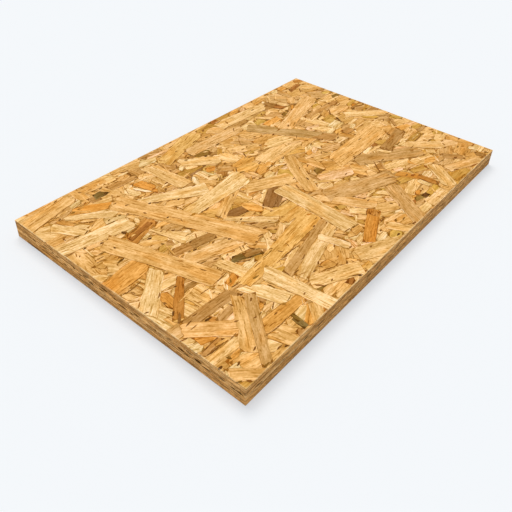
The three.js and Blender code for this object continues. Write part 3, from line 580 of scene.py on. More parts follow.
class Spot(Strand):
    """A pit, a knot or an open joint: a sliver that narrows to both ends. A knot has its own dark tone; for a
    pit or an open joint the dark tone is painted shade.
    """

    cell_length = 1.3
    browned = 0.80, 0.68, 0.42          # what is left of its tone's red, green and blue: a knot's own dark, and painted shade for a pit
    rim_narrowing = 3                   # its dark rim, partly char and glue and partly painted shade, is so many times narrower than a strand's

    def __init__(self, *places, **settings):
        super().__init__(*places, **settings)
        self.tone = self.tone * self.browned

    def profile(self, rng, ends):
        """Share of the half width at each station."""
        round_off = np.sqrt(np.clip(1 - (2 * self.stations - 1) ** 2, 0.03, 1))
        return round_off * rng.uniform(0.45, 1.0, self.columns + 1)

    def plan(self):
        """As a strand's, with a narrower rim."""
        points, distance, sideways, rim = super().plan()
        return points, distance, sideways, self.rim_narrowing * rim


def smooth(values, radius):
    """Two box blurs over both axes."""
    size = 2 * radius + 1
    for axis in (0, 1, 0, 1):
        padded = np.pad(values, [(radius + 1, radius) if a == axis else (0, 0) for a in (0, 1)], mode="edge")
        total = np.cumsum(padded, axis)
        values = (np.take(total, range(size, total.shape[axis]), axis)
                  - np.take(total, range(total.shape[axis] - size), axis)) / size
    return values


def press(strands):
    """Presses a pile of strands, the lowest first, flush with a platen, and gives those that show.

    Each comes as its place in the pile, the strand, its plan and how deep each point of the plan is sunk.
    """
    half = np.array([half_length + PRESS_MARGIN, half_width + PRESS_MARGIN])
    xs, ys = (np.arange(-h, h, PRESS_STEP) + PRESS_STEP / 2 for h in half)
    load = np.zeros((len(ys), len(xs)))
    on_panel = (np.abs(ys)[:, None] < half_width) & (np.abs(xs)[None, :] < half_length)
    pad = 2 * PRESS_BLUR + 2
    shown = []
    for order in range(len(strands) - 1, -1, -1):
        strand = strands[order]
        corners = ((strand.corners() + half) / PRESS_STEP)
        x0, y0 = np.maximum(corners.min(0).astype(int) - pad, 0)
        x1, y1 = np.minimum(corners.max(0).astype(int) + pad, (len(xs), len(ys)))
        if min(x1 - x0, y1 - y0) < LEAST_SPAN:
            continue
        window = np.s_[y0:y1, x0:x1]
        inside = strand.covers(xs[None, x0:x1], ys[y0:y1, None])
        if (inside & (load[window] == 0) & on_panel[window]).sum() < LEAST_OPEN:
            continue
        sunk = smooth(PRESS_LIMIT * (1 - np.exp(-load[window] / PRESS_LIMIT)), PRESS_BLUR)
        plan = strand.plan()
        column, row = (((plan[0] + half) / PRESS_STEP).astype(int) - (x0, y0)).T
        depth = sunk[np.clip(row, 0, y1 - y0 - 1), np.clip(column, 0, x1 - x0 - 1)]
        shown.append((order, strand, plan, depth))
        load[window][inside] += strand.thickness
    return shown[::-1]


def border_distance(points):
    """How far points lie inside the panel's outline."""
    return np.minimum(half_length - np.abs(points[:, 0]), half_width - np.abs(points[:, 1]))


class Pile:
    """Arrays of many closed solids that become one mesh, with the place in the drawing order of each face."""

    def __init__(self):
        self.parts = []
        self.count = 0
        self.plates = {}

    def add(self, points, loops, sizes, tone, grain, distances, order=0):
        """Adds one solid."""
        self.parts.append((points, loops + self.count, sizes, np.full(len(sizes), order),
                           np.broadcast_to(tone, (len(points), 3)), grain, distances))
        self.count += len(points)

    def add_strand(self, order, strand, plan, sunk):
        """Adds a pressed strand as a closed plate."""
        key = strand.columns, strand.rows
        if key not in self.plates:
            self.plates[key] = plate_faces(*key)
        upper, ring, loops, sizes = self.plates[key]
        pick = np.concatenate([np.arange(upper), ring])
        spots, distance, sideways, rim = (values[pick] for values in plan)
        depth = sunk[pick]
        # distances of each point: to its rim, how deep the press sinks it, and to the border; they steer the
        # painted shade at rims and dips and the painted highlight at the arris
        distances = np.stack([rim, depth, border_distance(spots)], 1)
        depth = depth + np.where(np.arange(len(pick)) < upper, 0, strand.thickness)
        grain = np.stack([distance, sideways, np.full(len(pick), strand.seed)], 1)
        self.add(np.column_stack([spots, depth]), loops, sizes, strand.tone, grain, distances, order)

    def arrays(self):
        """Points, loops, sizes, order, tone, grain and distances of the whole pile."""
        return [np.concatenate(values) for values in zip(*self.parts)]


def mesh_from(name, points, loops, sizes, tone, grain, distances, flat_map=None):
    """A mesh in metres with tone, grain and the distances that steer its marks on its points, and a map for
    the bake on its corners.
    """
    mesh = bpy.data.meshes.new(name)
    mesh.vertices.add(len(points))
    mesh.vertices.foreach_set("co", (points * MM).astype(np.float32).ravel())
    mesh.loops.add(len(loops))
    mesh.loops.foreach_set("vertex_index", loops.astype(np.int32))
    mesh.polygons.add(len(sizes))
    mesh.polygons.foreach_set("loop_start", starts_of(sizes).astype(np.int32))
    mesh.update(calc_edges=True)
    colour = mesh.attributes.new("tone", "FLOAT_COLOR", "POINT")
    colour.data.foreach_set("color", np.column_stack([tone, np.ones(len(tone))]).astype(np.float32).ravel())
    for key, values in (("grain", grain), ("distances", distances)):
        layer = mesh.attributes.new(key, "FLOAT_VECTOR", "POINT")
        layer.data.foreach_set("vector", values.astype(np.float32).ravel())
    if flat_map:
        layer = mesh.uv_layers.new(name="OFBake")
        layer.uv.foreach_set("vector", flat_map(points)[loops].astype(np.float32).ravel())
    return mesh


def read_back(mesh):
    """The arrays that mesh_from was given, in millimetres again, after the mesh was changed."""
    def values(data, key, width, kind=np.float32):
        flat = np.empty(len(data) * width, kind)
        data.foreach_get(key, flat)
        return flat.reshape(-1, width) if width > 1 else flat

    layers = mesh.attributes
    return (values(mesh.vertices, "co", 3) / MM, values(mesh.loops, "vertex_index", 1, np.int32),
            values(mesh.polygons, "loop_total", 1, np.int32), values(layers["tone"].data, "color", 4)[:, :3],
            values(layers["grain"].data, "vector", 3), values(layers["distances"].data, "vector", 3))


def cut_with(work, spot, normal, **settings):
    """Cuts a whole mesh with a plane."""
    everything = work.verts[:] + work.edges[:] + work.faces[:]
    bmesh.ops.bisect_plane(work, geom=everything, dist=1e-7, plane_co=spot, plane_no=normal, **settings)


def trimmed(points, loops, sizes, order, tone, grain, distances):
    """Saws off what reaches past the panel's outline, and adds the rings of points that the arris needs."""
    coded = distances.copy()
    coded[loops, 2] = np.repeat(order, sizes)        # the order rides through the saw in place of the border
    mesh = mesh_from("saw", points, loops, sizes, tone, grain, coded)
    work = bmesh.new()
    work.from_mesh(mesh)
    sides = [(Vector((-1, 0, 0)), half_length), (Vector((1, 0, 0)), half_length),
             (Vector((0, -1, 0)), half_width), (Vector((0, 1, 0)), half_width)]
    for normal, half in sides:
        for share in ARRIS_RINGS:
            cut_with(work, normal * ((half - ARRIS * share) * MM), normal)
    planes = [(normal * ((half - CLEARANCE) * MM), normal) for normal, half in sides]
    mitre = CORNER * (1 - math.sqrt(0.5)) + CLEARANCE
    for sx in (-1, 1):
        for sy in (-1, 1):
            spot = Vector((sx * (half_length - mitre), sy * (half_width - mitre), 0)) * MM
            planes.append((spot, Vector((sx, sy, 0)).normalized()))
    for spot, normal in planes:
        cut_with(work, spot, normal, clear_outer=True)
        bmesh.ops.holes_fill(work, edges=[edge for edge in work.edges if edge.is_boundary], sides=0)
    bmesh.ops.dissolve_degenerate(work, dist=2e-6, edges=work.edges[:])
    work.to_mesh(mesh)
    work.free()
    points, loops, sizes, tone, grain, distances = read_back(mesh)
    bpy.data.meshes.remove(mesh)
    order = np.rint(distances[loops[starts_of(sizes)], 2]).astype(int)
    distances[:, 2] = border_distance(points)
    return points, loops, sizes, order, tone, grain, distances


def gathered(pile):
    """The pile with its border plates sawn to the outline and eased at the arris, in drawing order again."""
    points, loops, sizes, order, tone, grain, distances = pile.arrays()
    nearest = np.full(order.max() + 1, np.inf)
    np.minimum.at(nearest, np.repeat(order, sizes), border_distance(points)[loops])
    on_border = nearest[order] < ARRIS + BORDER_SPARE

    def subset(keep):
        used, fresh = np.unique(loops[np.repeat(keep, sizes)], return_inverse=True)
        return points[used], fresh, sizes[keep], order[keep], tone[used], grain[used], distances[used]

    inner, border = subset(~on_border), trimmed(*subset(on_border))
    merged = [np.concatenate(pair) for pair in zip(inner, border)]
    merged[1] = np.concatenate([inner[1], border[1] + len(inner[0])])
    points, loops, sizes, order, tone, grain, distances = merged
    near = np.clip(ARRIS - distances[:, 2], 0, ARRIS)
    drop = ARRIS - np.sqrt(np.maximum(ARRIS ** 2 - near ** 2, 0))
    points[:, 2] = np.maximum(points[:, 2], drop)
    ranked = np.argsort(order, kind="stable")
    starts = starts_of(sizes)
    gather = np.concatenate([np.arange(starts[face], starts[face] + sizes[face]) for face in ranked])
    return points, loops[gather], sizes[ranked], tone, grain, distances


def face_map(points):
    """The bake's flat map: the panel seen from above."""
    return points[:, :2] / panel_length + 0.5


def finished(name, mesh, material, sharp_angle):
    """A piece that stands for the panel, smooth but for its sharp edges."""
    mesh.materials.append(material)
    mesh.polygons.foreach_set("use_smooth", np.ones(len(mesh.polygons), bool))
    mesh.set_sharp_from_angle(angle=sharp_angle)
    mesh.update()
    piece = bpy.data.objects.new(name, mesh)
    bpy.context.collection.objects.link(piece)
    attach(piece, "root")
    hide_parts(NODE)
    return piece


def face_piece(name, pile, upward, material):
    """One pile of a face as a piece. Its depths count up from the floor, or down from the top."""
    points, loops, sizes, tone, grain, distances = gathered(pile)
    if upward:
        points[:, 2] = panel_thickness - points[:, 2]
    else:                                            # seen from below, the other way round
        loops = np.concatenate([loops[a:a + n][::-1] for a, n in zip(starts_of(sizes), sizes)])
    mesh = mesh_from(name, points, loops, sizes, tone, grain, distances, face_map)
    return finished(name, mesh, material, FACE_SHARP)


def ends_of(middle, turn, length):
    """Start and end of a strand."""
    reach = np.array([math.cos(turn), math.sin(turn)]) * length / 2
    return middle - reach, middle + reach


def on_panel(u, v):
    """The place of a table's row: across from the short side at -x and down from the long side at +y."""
    return np.array([u - half_length, half_width - v])


def named_strands(rng, rows):
    """The strands of a table."""
    made = []
    for u0, v0, u1, v1, width, tone, *shape in rows:
        ends, bow = tuple(shape[:2]) or None, shape[2] if len(shape) > 2 else None
        thickness = rng.uniform(*NAMED_THICKNESS)
        made.append(Strand(rng, on_panel(u0, v0), on_panel(u1, v1), width, tone, thickness, ends, bow))
    return made


def named_spots(rng, rows):
    """The marks of a table."""
    made = []
    for u, v, length, width, turn, *tone in rows:
        start, end = ends_of(on_panel(u, v), -math.radians(turn), length)
        bow = rng.normal(0, SPOT_BEND) * length
        made.append(Spot(rng, start, end, width, tone[0] if tone else JOINT, SPOT_THICKNESS, bow=bow))
    return made


def scattered(rng, count, length, width, thickness, any_way, tones=None):
    """Strands thrown at random, most of them along the panel and a share of them any way."""
    made = []
    for _ in range(count):
        size = rng.uniform(*length), rng.uniform(*width)
        turn = rng.uniform(0, math.pi) if rng.random() < any_way else rng.normal(0, ALONG_SPREAD)
        spot = rng.uniform(-0.5, 0.5, 2) * (panel_length + THROWN_PAST, panel_width + THROWN_PAST)
        kind, ends = rng.random(), None
        if kind < POINTED:
            ends = (1.0, rng.uniform(0.1, 0.6))
        elif kind < POINTED + TAPERED:
            ends = (rng.uniform(0.2, 0.6), rng.uniform(0.2, 0.6))
        tone = str(rng.choice(tones)) if tones else any_tone(rng, FACE_TONES)
        start, end = ends_of(spot, turn, size[0])
        made.append(Strand(rng, start, end, size[1], tone, rng.uniform(*thickness), ends))
    return made


def ground(rng):
    """The lowest strands, laid in overlapping rows so that no place is left open to the core."""
    made = []
    (x0, y0), (x1, y1) = GROUND_START, GROUND_STOP
    for x in np.arange(-half_length - x0, half_length + x1, GROUND_PITCH[0]):
        for y in np.arange(-half_width - y0, half_width + y1, GROUND_PITCH[1]):
            spot = np.array([x, y]) + rng.uniform(-1, 1, 2) * GROUND_SHIFT
            start, end = ends_of(spot, rng.normal(0, GROUND_TURN), GROUND_SIZE[0])
            made.append(Strand(rng, start, end, GROUND_SIZE[1], any_tone(rng, FACE_TONES), GROUND_SIZE[2]))
    rng.shuffle(made)
    return made


def mixed(rng, *groups):
    """Groups of strands shuffled together."""
    pile = [strand for group in groups for strand in group]
    rng.shuffle(pile)
    return pile


# ---------------------------------------------------------------- materials

WHITE = (1, 1, 1, 1)
FULL_DARKENING = (0.40, 0.28, 0.095, 1)          # what a full darkening leaves of the red, the green and the blue; it serves real stains and painted shade alike
FLUSHED = (0.98, 0.87, 0.66, 1)         # what a warm flush leaves of them
SAWN_AND_HIGHLIGHT = (*linear((255, 224, 170)), 1)    # freshly sawn wood, pale enough to stand for the highlight on the arris as well: partly painted highlight
VOID_SHADE = (0.055, 0.026, 0.010, 1)       # painted shade deep in a void, for the wood there
# painted shade: the core is coloured near black, as the shade deep behind a pit or a void
CORE_SHADE_DARK, CORE_SHADE_LIGHT = (0.05, 0.024, 0.009, 1), (0.16, 0.085, 0.035, 1)

# Noises in the grain: cells per mm along it, across it and from strand to strand, then detail, then roughness
# where it isn't 0.5.
FACE_NOISES = {
    "fibre": ((0.17, 1.15, 1.7), 3), "bands": ((0.018, 0.34, 2.9), 1.5), "blotch": ((0.045, 0.09, 3.7), 1),
    "streaks": ((0.065, 0.62, 4.1), 2), "dashes": ((0.12, 0.8, 5.3), 1.5), "flush": ((0.025, 0.10, 6.1), 1),
    "clusters": ((0.03, 0.07, 7.7), 1),
}
EDGE_NOISES = {
    "fibre": ((0.30, 3.0, 1.3), 3, 0.65), "blotch": ((0.07, 0.5, 0.7), 2), "dashes": ((0.14, 1.1, 2.3), 2),
}


class Tree:
    """Short calls for a material's nodes."""

    def __init__(self, name):
        self.material = bpy.data.materials.new(name)
        self.material.use_nodes = True
        self.nodes, self.links = self.material.node_tree.nodes, self.material.node_tree.links
        self.shader = self.nodes["Principled BSDF"]

    def put(self, socket, value):
        """Links another node's output to a socket, or sets its value."""
        if isinstance(value, bpy.types.NodeSocket):
            self.links.new(value, socket)
        else:
            socket.default_value = value

    def add(self, kind, inputs=(), **settings):
        """A new node, its inputs given by name or number."""
        node = self.nodes.new(kind)
        for key, value in settings.items():
            setattr(node, key, value)
        for socket, value in dict(inputs).items():
            self.put(node.inputs[socket], value)
        return node

    def to_shader(self, **inputs):
        """Feeds the shader: the words of an input's name are joined by underscores."""
        for name, value in inputs.items():
            self.put(self.shader.inputs[name.replace("_", " ")], value)

    def attribute(self, name, output="Vector"):
        return self.add("ShaderNodeAttribute", attribute_name=name).outputs[output]

    def position(self):
        return self.add("ShaderNodeNewGeometry").outputs["Position"]

    def split(self, vector):
        return self.add("ShaderNodeSeparateXYZ", {0: vector}).outputs

    def math(self, operation, a, b=0.0):
        return self.add("ShaderNodeMath", {0: a, 1: b}, operation=operation).outputs[0]

    def product(self, a, b):
        return self.math("MULTIPLY", a, b)

    def total(self, first, *others):
        for other in others:
            first = self.math("ADD", first, other)
        return first

    def scaled(self, vector, by):
        return self.add("ShaderNodeVectorMath", {0: vector, 1: by}, operation="MULTIPLY").outputs[0]

    def times(self, vector, value):
        return self.add("ShaderNodeVectorMath", {0: vector, "Scale": value}, operation="SCALE").outputs[0]

    def noise(self, vector, detail, roughness=0.5, scale=1.0):
        return self.add("ShaderNodeTexNoise", {"Vector": vector, "Scale": scale, "Detail": detail,
                                               "Roughness": roughness}).outputs["Fac"]

    def noises(self, grain, table):
        """The noises of a table, in their order."""
        return [self.noise(self.scaled(grain, by), *settings) for by, *settings in table.values()]

    def ramp(self, value, low, high, to_low=0.0, to_high=1.0):
        """A smooth step from one value to another while the input goes from low to high."""
        return self.add("ShaderNodeMapRange", {0: value, 1: low, 2: high, 3: to_low, 4: to_high},
                        interpolation_type="SMOOTHSTEP").outputs[0]

    def swing(self, noise, to_low, to_high):
        """A ramp over nearly all of a noise's range."""
        return self.ramp(noise, 0.3, 0.7, to_low, to_high)

    def mix(self, share, a, b):
        return self.add("ShaderNodeMix", {0: share, 6: a, 7: b}, data_type="RGBA").outputs[2]

    def stained(self, colour, amount):
        """The colour under a brown darkening, which takes most from the blue: a stain, and on the faces
        painted shade as well. An amount of 1 is a full darkening.
        """
        return self.scaled(colour, self.add("ShaderNodeGamma", {"Color": FULL_DARKENING, "Gamma": amount}).outputs[0])

    def bump(self, strength, distance, height):
        inputs = {"Strength": strength, "Distance": distance, "Height": height}
        return self.add("ShaderNodeBump", inputs).outputs[0]


def strand_material():
    """Pressed strands: each one's own tone, with fibres, early and late wood, streaks, and rims that are
    partly scorched and partly painted shade; painted shade where a strand dips under the next, and a painted
    highlight on torn rims and the arris.
    """
    tree = Tree("strand_board_face")
    rim_distance, depth, border = tree.split(tree.attribute("distances"))
    fibre, bands, blotch, streaks, dashes, flush, clusters = tree.noises(tree.attribute("grain"), FACE_NOISES)
    place = tree.position()
    ragged, stretch = tree.noise(place, 2, scale=420), tree.noise(place, 1, scale=70)

    # partly painted shade: dark lines along stretches of each strand's rim stand for the shadow at its step,
    # as well as for char and glue
    rim_width = tree.product(tree.ramp(stretch, 0.45, 0.62, 0.02, 1.0), tree.swing(ragged, 0.1, 0.85))
    rim = tree.math("SUBTRACT", 1.0, tree.math("DIVIDE", rim_distance, rim_width))
    # partly painted highlight: a pale band along some rims stands for light caught on the rim, as well as for
    # torn pale fibres
    torn = tree.product(tree.ramp(rim_distance, 1.1, 0.3), tree.ramp(stretch, 0.46, 0.36))
    # painted shade where a strand dips under the one over it, the more the deeper it is sunk
    sunk = tree.product(depth, tree.ramp(stretch, 0.35, 0.6, 0.45, 1.1))
    dashes = tree.total(dashes, tree.ramp(clusters, 0.35, 0.65, -0.045, 0.035))
    brown = tree.total(tree.swing(fibre, 0.12, -0.10), tree.swing(bands, 0.13, -0.11),
                       tree.swing(blotch, 0.13, -0.09), tree.swing(ragged, 0.09, -0.08))
    # what darkens it, grain stains and painted shade alike, and the painted highlight that lightens torn
    # rims: from where it sets in to where it is full, and then its share of a full darkening
    for source, low, high, share in (
            (rim, 0.0, 0.6, 0.78), (sunk, 0.1, 0.8, 0.36), (streaks, 0.54, 0.72, 0.44),
            (dashes, 0.61, 0.70, 0.60), (torn, 0, 1, -0.28)):
        brown = tree.total(brown, tree.product(tree.ramp(source, low, high), share))
    brown = tree.math("MAXIMUM", tree.math("MINIMUM", brown, 1.2), -0.2)

    flushed = tree.mix(tree.ramp(flush, 0.48, 0.72), WHITE, FLUSHED)
    colour = tree.stained(tree.scaled(tree.attribute("tone", "Color"), flushed), brown)
    # partly painted highlight: the eased arris goes towards pale sawn wood, brighter than its shading alone
    # makes it
    arris = tree.product(tree.ramp(border, 1.5, 0.8), tree.ramp(stretch, 0.36, 0.62, 0.12, 0.52))
    height = tree.math("SUBTRACT", fibre, tree.product(tree.ramp(dashes, 0.60, 0.69), 0.5))
    tree.to_shader(Base_Color=tree.mix(arris, colour, SAWN_AND_HIGHLIGHT), Specular_IOR_Level=0.02,
                   Roughness=tree.swing(fibre, 0.58, 0.72), Normal=tree.bump(0.5, 0.12 * MM, height))
    return tree.material


def edge_material():
    """Sawn side: cut strands in brown laminations, pale torn fibres, dark joints and open voids, darkened
    inward with painted shade.
    """
    tree = Tree("strand_board_edge")
    half_thickness, depth, border = tree.split(tree.attribute("distances"))
    grain = tree.attribute("grain")
    from_middle = tree.split(grain)[1]
    fibre, blotch, dashes = tree.noises(grain, EDGE_NOISES)
    drift = tree.noise(tree.scaled(tree.position(), (130, 130, 420)), 1.5)

    light = tree.product(tree.swing(fibre, 0.82, 1.2), tree.swing(blotch, 0.86, 1.12))
    light = tree.product(light, tree.swing(drift, 0.78, 1.25))
    joint = tree.math("SUBTRACT", half_thickness, tree.math("ABSOLUTE", from_middle))
    brown = tree.total(tree.product(tree.ramp(joint, 0.13, 0.0), tree.ramp(blotch, 0.35, 0.6, 0.1, 0.9)),
                       tree.product(tree.ramp(fibre, 0.6, 0.72), 0.4),
                       tree.product(tree.ramp(dashes, 0.60, 0.68), 0.6))
    colour = tree.times(tree.attribute("tone", "Color"), light)
    colour = tree.stained(colour, tree.math("MINIMUM", brown, 1.0))
    # painted shade: darker the deeper into a void
    colour = tree.mix(tree.product(tree.ramp(depth, 0.1, 1.6), 0.95), colour, VOID_SHADE)
    # partly painted highlight: a pale band along the arrises of the sides
    colour = tree.mix(tree.product(tree.ramp(border, 0.5, 0.0), 0.08), colour, SAWN_AND_HIGHLIGHT)
    tree.to_shader(Base_Color=colour, Specular_IOR_Level=0.12, Roughness=tree.swing(fibre, 0.74, 0.88),
                   Normal=tree.bump(0.6, 0.15 * MM, fibre))
    return tree.material


def core_material():
    """The inside, seen only through a pit or a void: uneven chips, coloured dark with painted shade."""
    tree = Tree("strand_board_core")
    chips = tree.noise(tree.scaled(tree.position(), (90, 260, 400)), 3)
    tree.to_shader(Base_Color=tree.mix(tree.ramp(chips, 0.35, 0.65), CORE_SHADE_DARK, CORE_SHADE_LIGHT),
                   Roughness=tree.ramp(chips, 0.35, 0.65, 0.8, 0.9))
    return tree.material


# ---------------------------------------------------------------- sawn sides

LAYERS = 28                             # of cut strands, between the two arrises
BAR_DEPTH = 5.0                         # how far the cut strands reach in
STATION_STEP = 2.5                      # between the points round the outline
WAVES = 7, 13, 23, 41, 67, 97, 131      # cycles of the layers' waves round the panel
WAVE_HEIGHT = 0.9                       # in layers
LEAST_LAYER = 0.12                      # in layers
RANDOM_VOIDS = 230
VOID_REACH = 1.5, 5                     # from and to, to each side of its centre
FULL_REACH = 3                          # a void that reaches less is lower
VOID_HEIGHT = 0.4, 1.3                  # from and to
VOID_DEPTH = 0.44, 0.15                 # mean and spread, as shares of the thickness
LOWERED = 0.5                           # height of a random void where the table has its own, as a share
VOID_FADE = 2.2                         # layers over which a void's bulge dies out
VOID_COVER = 3                          # layers that stay over and under every void
BAR_CELLS = 3, 20                       # least length of a cut strand, in stations, and the first too long
MOST_RECESS = 0.10                      # how far a cut strand lies back
LIP_OPENING, LIP_SHARE = 0.5, 0.6       # over a wider void, this share of the strands is torn pale
CORNER_BORDER, NO_BORDER = 0.15, 9      # distance to the arris that the upright corners count as, and none
BROAD_SHADE = 0.9                       # painted shade: the long sides are a little darker
SIDE_TINT = 1.02, 1, 1.04               # against the palette, on all sides

CORE_INSET, CORE_COVER = 4.6, 2.0       # how far in from the sides and the faces the core starts
CORE_STEP, CORE_UNEVEN = 6.0, 0.35      # its cells, and how far its points lie up or down


def outline_stations(arc_points=4):
    """Points round the outline, anticlockwise from the near right corner, with the way gone so far."""
    x, y = half_length - CORNER, half_width - CORNER
    arcs = []
    for cx, cy, angle in ((x, -y, -90), (x, y, 0), (-x, y, 90), (-x, -y, 180)):
        turns = [math.radians(angle + 90 * part / arc_points) for part in range(arc_points + 1)]
        arcs.append([(cx + CORNER * math.cos(turn), cy + CORNER * math.sin(turn)) for turn in turns])
    points = []
    for arc, following in zip(arcs, arcs[1:] + arcs[:1]):
        a, b = np.array(arc[-1]), np.array(following[0])
        count = int(round(np.hypot(*(b - a)) / STATION_STEP))
        points += arc + [tuple(a + (b - a) * k / count) for k in range(1, count)]
    points = np.array(points)
    return points, np.concatenate([[0], np.cumsum(np.hypot(*np.diff(points, axis=0).T))])


def wavy_layers(rng, way, total, low, high):
    """Heights of the borders between the layers, at each station."""
    level = np.arange(LAYERS + 1)[:, None]
    pitch = (high - low) / LAYERS
    free = np.sqrt(np.clip(np.sin(math.pi * level / LAYERS), 0, 1))
    wave = np.zeros((LAYERS + 1, len(way)))
    for cycles in WAVES:
        phase = rng.uniform(0, 6.3) + level * rng.uniform(0.2, 0.75)
        wave += math.pow(cycles, -0.45) * np.sin(2 * math.pi * cycles * way[None, :] / total + phase)
    bounds = low + pitch * (level + wave * free * WAVE_HEIGHT)
    for k in range(LAYERS):
        bounds[k + 1] = np.maximum(bounds[k + 1], bounds[k] + LEAST_LAYER * pitch)
    return low + (bounds - low) * (high - low) / np.maximum(bounds[-1] - low, 1e-6)


def side_voids(rng, outer, way, total):
    """Centre, depth below the face as a share, reach to each side and height of every void in the sides."""
    voids = []
    for side, rows in VOIDS.items():
        for centre, depth, length, height in rows:
            spot = on_panel(0, centre) if side == "left" else on_panel(centre, panel_width)
            voids.append((way[np.argmin(np.hypot(*(outer - spot).T))], depth, length / 2, height))
    far_side = way[np.argmax(outer[:, 1] > half_width - 2)]
    for _ in range(RANDOM_VOIDS):
        reach = rng.uniform(*VOID_REACH)
        height = rng.uniform(*VOID_HEIGHT) * min(1, reach / FULL_REACH)
        centre = rng.uniform(0, total)
        height *= LOWERED if centre > far_side + panel_length else 1
        voids.append((centre, rng.normal(*VOID_DEPTH), reach, height))
    return voids


def opened(bounds, voids, way, total):
    """The borders as seen from the layer above and from the layer below, apart where a void opens."""
    above, below = bounds.copy(), bounds.copy()
    level = np.arange(LAYERS + 1)[:, None]
    for centre, depth, reach, height in voids:
        k = int(np.clip(round(LAYERS * (1 - depth)), VOID_COVER, LAYERS - VOID_COVER))
        offset = (way - centre + total / 2) % total - total / 2
        lens = height / 2 * np.clip(1 - (offset / reach) ** 2, 0, 1) ** 0.5
        bulge = lens * np.exp(-np.abs(level - k) / VOID_FADE)
        above += np.where(level >= k, bulge, -bulge)
        below += np.where(level > k, bulge, -bulge)
    return above, below


def bar_faces(count):
    """Loops of a closed bar of four rows of points."""
    faces = []
    for j in range(count - 1):
        for side in (2, 3, 1, 0):
            p, q = side * count + j, (side + 1) % 4 * count + j
            faces.append([p, p + 1, q + 1, q])
    faces.append([0, count, 2 * count, 3 * count])
    faces.append([count - 1, 4 * count - 1, 3 * count - 1, 2 * count - 1])
    return np.concatenate(faces), np.full(len(faces), 4)


def edge_piece(name, material, rng):
    """The sawn sides: cut strands in wavy layers round the panel, each a closed bar, and voids between."""
    low, high = ARRIS, panel_thickness - ARRIS
    outer, way = outline_stations()
    total = way[-1] + np.hypot(*(outer[0] - outer[-1]))
    count = len(outer)
    inset = np.array([half_length, half_width]) - BAR_DEPTH
    inner = np.clip(outer, -inset, inset)
    inward = inner - outer
    inward /= np.linalg.norm(inward, axis=1)[:, None]

    bounds = wavy_layers(rng, way, total, low, high)
    above, below = opened(bounds, side_voids(rng, outer, way, total), way, total)
    above[0], below[0], above[-1], below[-1] = low, low, high, high

    on_long_side = np.abs(outer[:, 1]) > half_width - CORNER
    on_corner = on_long_side & (np.abs(outer[:, 0]) > half_length - CORNER)
    corner_border = np.where(on_corner, CORNER_BORDER, NO_BORDER)
    pile = Pile()
    for k in range(LAYERS):
        stops = [0]
        while stops[-1] < count:
            stops.append(stops[-1] + int(rng.integers(*BAR_CELLS)))
        stops[-1] = count
        for a, b in zip(stops[:-1], stops[1:]):
            index = np.arange(a, b + 1) % count
            n = len(index)
            recess = rng.uniform(0, MOST_RECESS) if 0 < k < LAYERS - 1 else 0.0
            front, back = outer[index] + inward[index] * recess, inner[index]
            bottom, top = above[k][index], below[k + 1][index]
            points = np.concatenate([np.column_stack(row) for row in
                                     ((front, bottom), (front, top), (back, top), (back, bottom))])
            half = (top - bottom) / 2
            run = way[index] + np.where(np.arange(a, b + 1) >= count, total, 0)
            grain = np.column_stack([np.tile(run, 4), np.concatenate([-half, half, half, -half]),
                                     np.full(4 * n, rng.uniform(0, 300))])
            border = np.minimum(np.minimum(points[:, 2] - low, high - points[:, 2]),
                                np.tile(corner_border[index], 4))
            # the second distance, how far in a point lies, darkens it with painted shade inside a void
            distances = np.column_stack([np.tile(half, 4), np.repeat([0.0, 0.0, BAR_DEPTH, BAR_DEPTH], n), border])
            torn = (k < LAYERS - 1 and (above[k + 1] - below[k + 1])[index].max() > LIP_OPENING
                    and rng.random() < LIP_SHARE)
            tone = linear(TONES["cream" if torn else any_tone(rng, SIDE_TONES)]) * rng.normal(1.03, 0.09)
            tone = tone * (BROAD_SHADE if on_long_side[index[0]] else 1) * SIDE_TINT
            pile.add(points, *bar_faces(n), tone, grain, distances)
    points, loops, sizes, _, tone, grain, distances = pile.arrays()
    return finished(name, mesh_from(name, points, loops, sizes, tone, grain, distances), material, EDGE_SHARP)


def core_piece(name, material, rng):
    """The unseen inside: a closed, uneven body behind the strands, coloured dark with painted shade where a
    pit or a void opens to it.
    """
    nx, ny = (int((size - 2 * CORE_INSET) / CORE_STEP) for size in (panel_length, panel_width))
    xs = np.linspace(-half_length + CORE_INSET, half_length - CORE_INSET, nx + 1)
    ys = np.linspace(-half_width + CORE_INSET, half_width - CORE_INSET, ny + 1)
    grid = np.array([(x, y) for x in xs for y in ys])
    top, bottom = (height + rng.uniform(-CORE_UNEVEN, CORE_UNEVEN, len(grid))
                   for height in (panel_thickness - CORE_COVER, CORE_COVER))
    vertices = np.concatenate([np.column_stack([grid, top]), np.column_stack([grid, bottom])]) * MM
    base, line, faces = len(grid), ny + 1, []
    for i in range(nx):
        for a in range(i * line, i * line + ny):
            faces.append((a, a + line, a + line + 1, a + 1))
            faces.append((base + a, base + a + 1, base + a + line + 1, base + a + line))
    ring = [i * line for i in range(nx + 1)] + [nx * line + j for j in range(1, ny + 1)]
    ring += [i * line + ny for i in range(nx - 1, -1, -1)] + list(range(ny - 1, 0, -1))
    faces += [(a, base + a, base + b, b) for a, b in zip(ring, ring[1:] + ring[:1])]
    mesh = bpy.data.meshes.new(name)
    mesh.from_pydata(vertices.tolist(), [], faces)
    return finished(name, mesh, material, FACE_SHARP)


# ---------------------------------------------------------------- the board

# Thrown strands: how many, then from and to for length, width and thickness, and the share that lies any way.
LOOSE = 260, (60, 120), (10, 24), (0.45, 0.7), 0.35
SMALL = 500, (14, 60), (4, 13), (0.3, 0.5), 0.6
FINES = 900, (5, 24), (1.2, 4.2), (0.18, 0.3), 0.8
UNDER_LONG = 120, (60, 140), (11, 28), (0.45, 0.65), 0.4
UNDER_SHORT = 260, (20, 60), (6, 16), (0.35, 0.55), 0.6
UNDER_LARGE = 60, (60, 150), (14, 28), (0.45, 0.65), 0.4
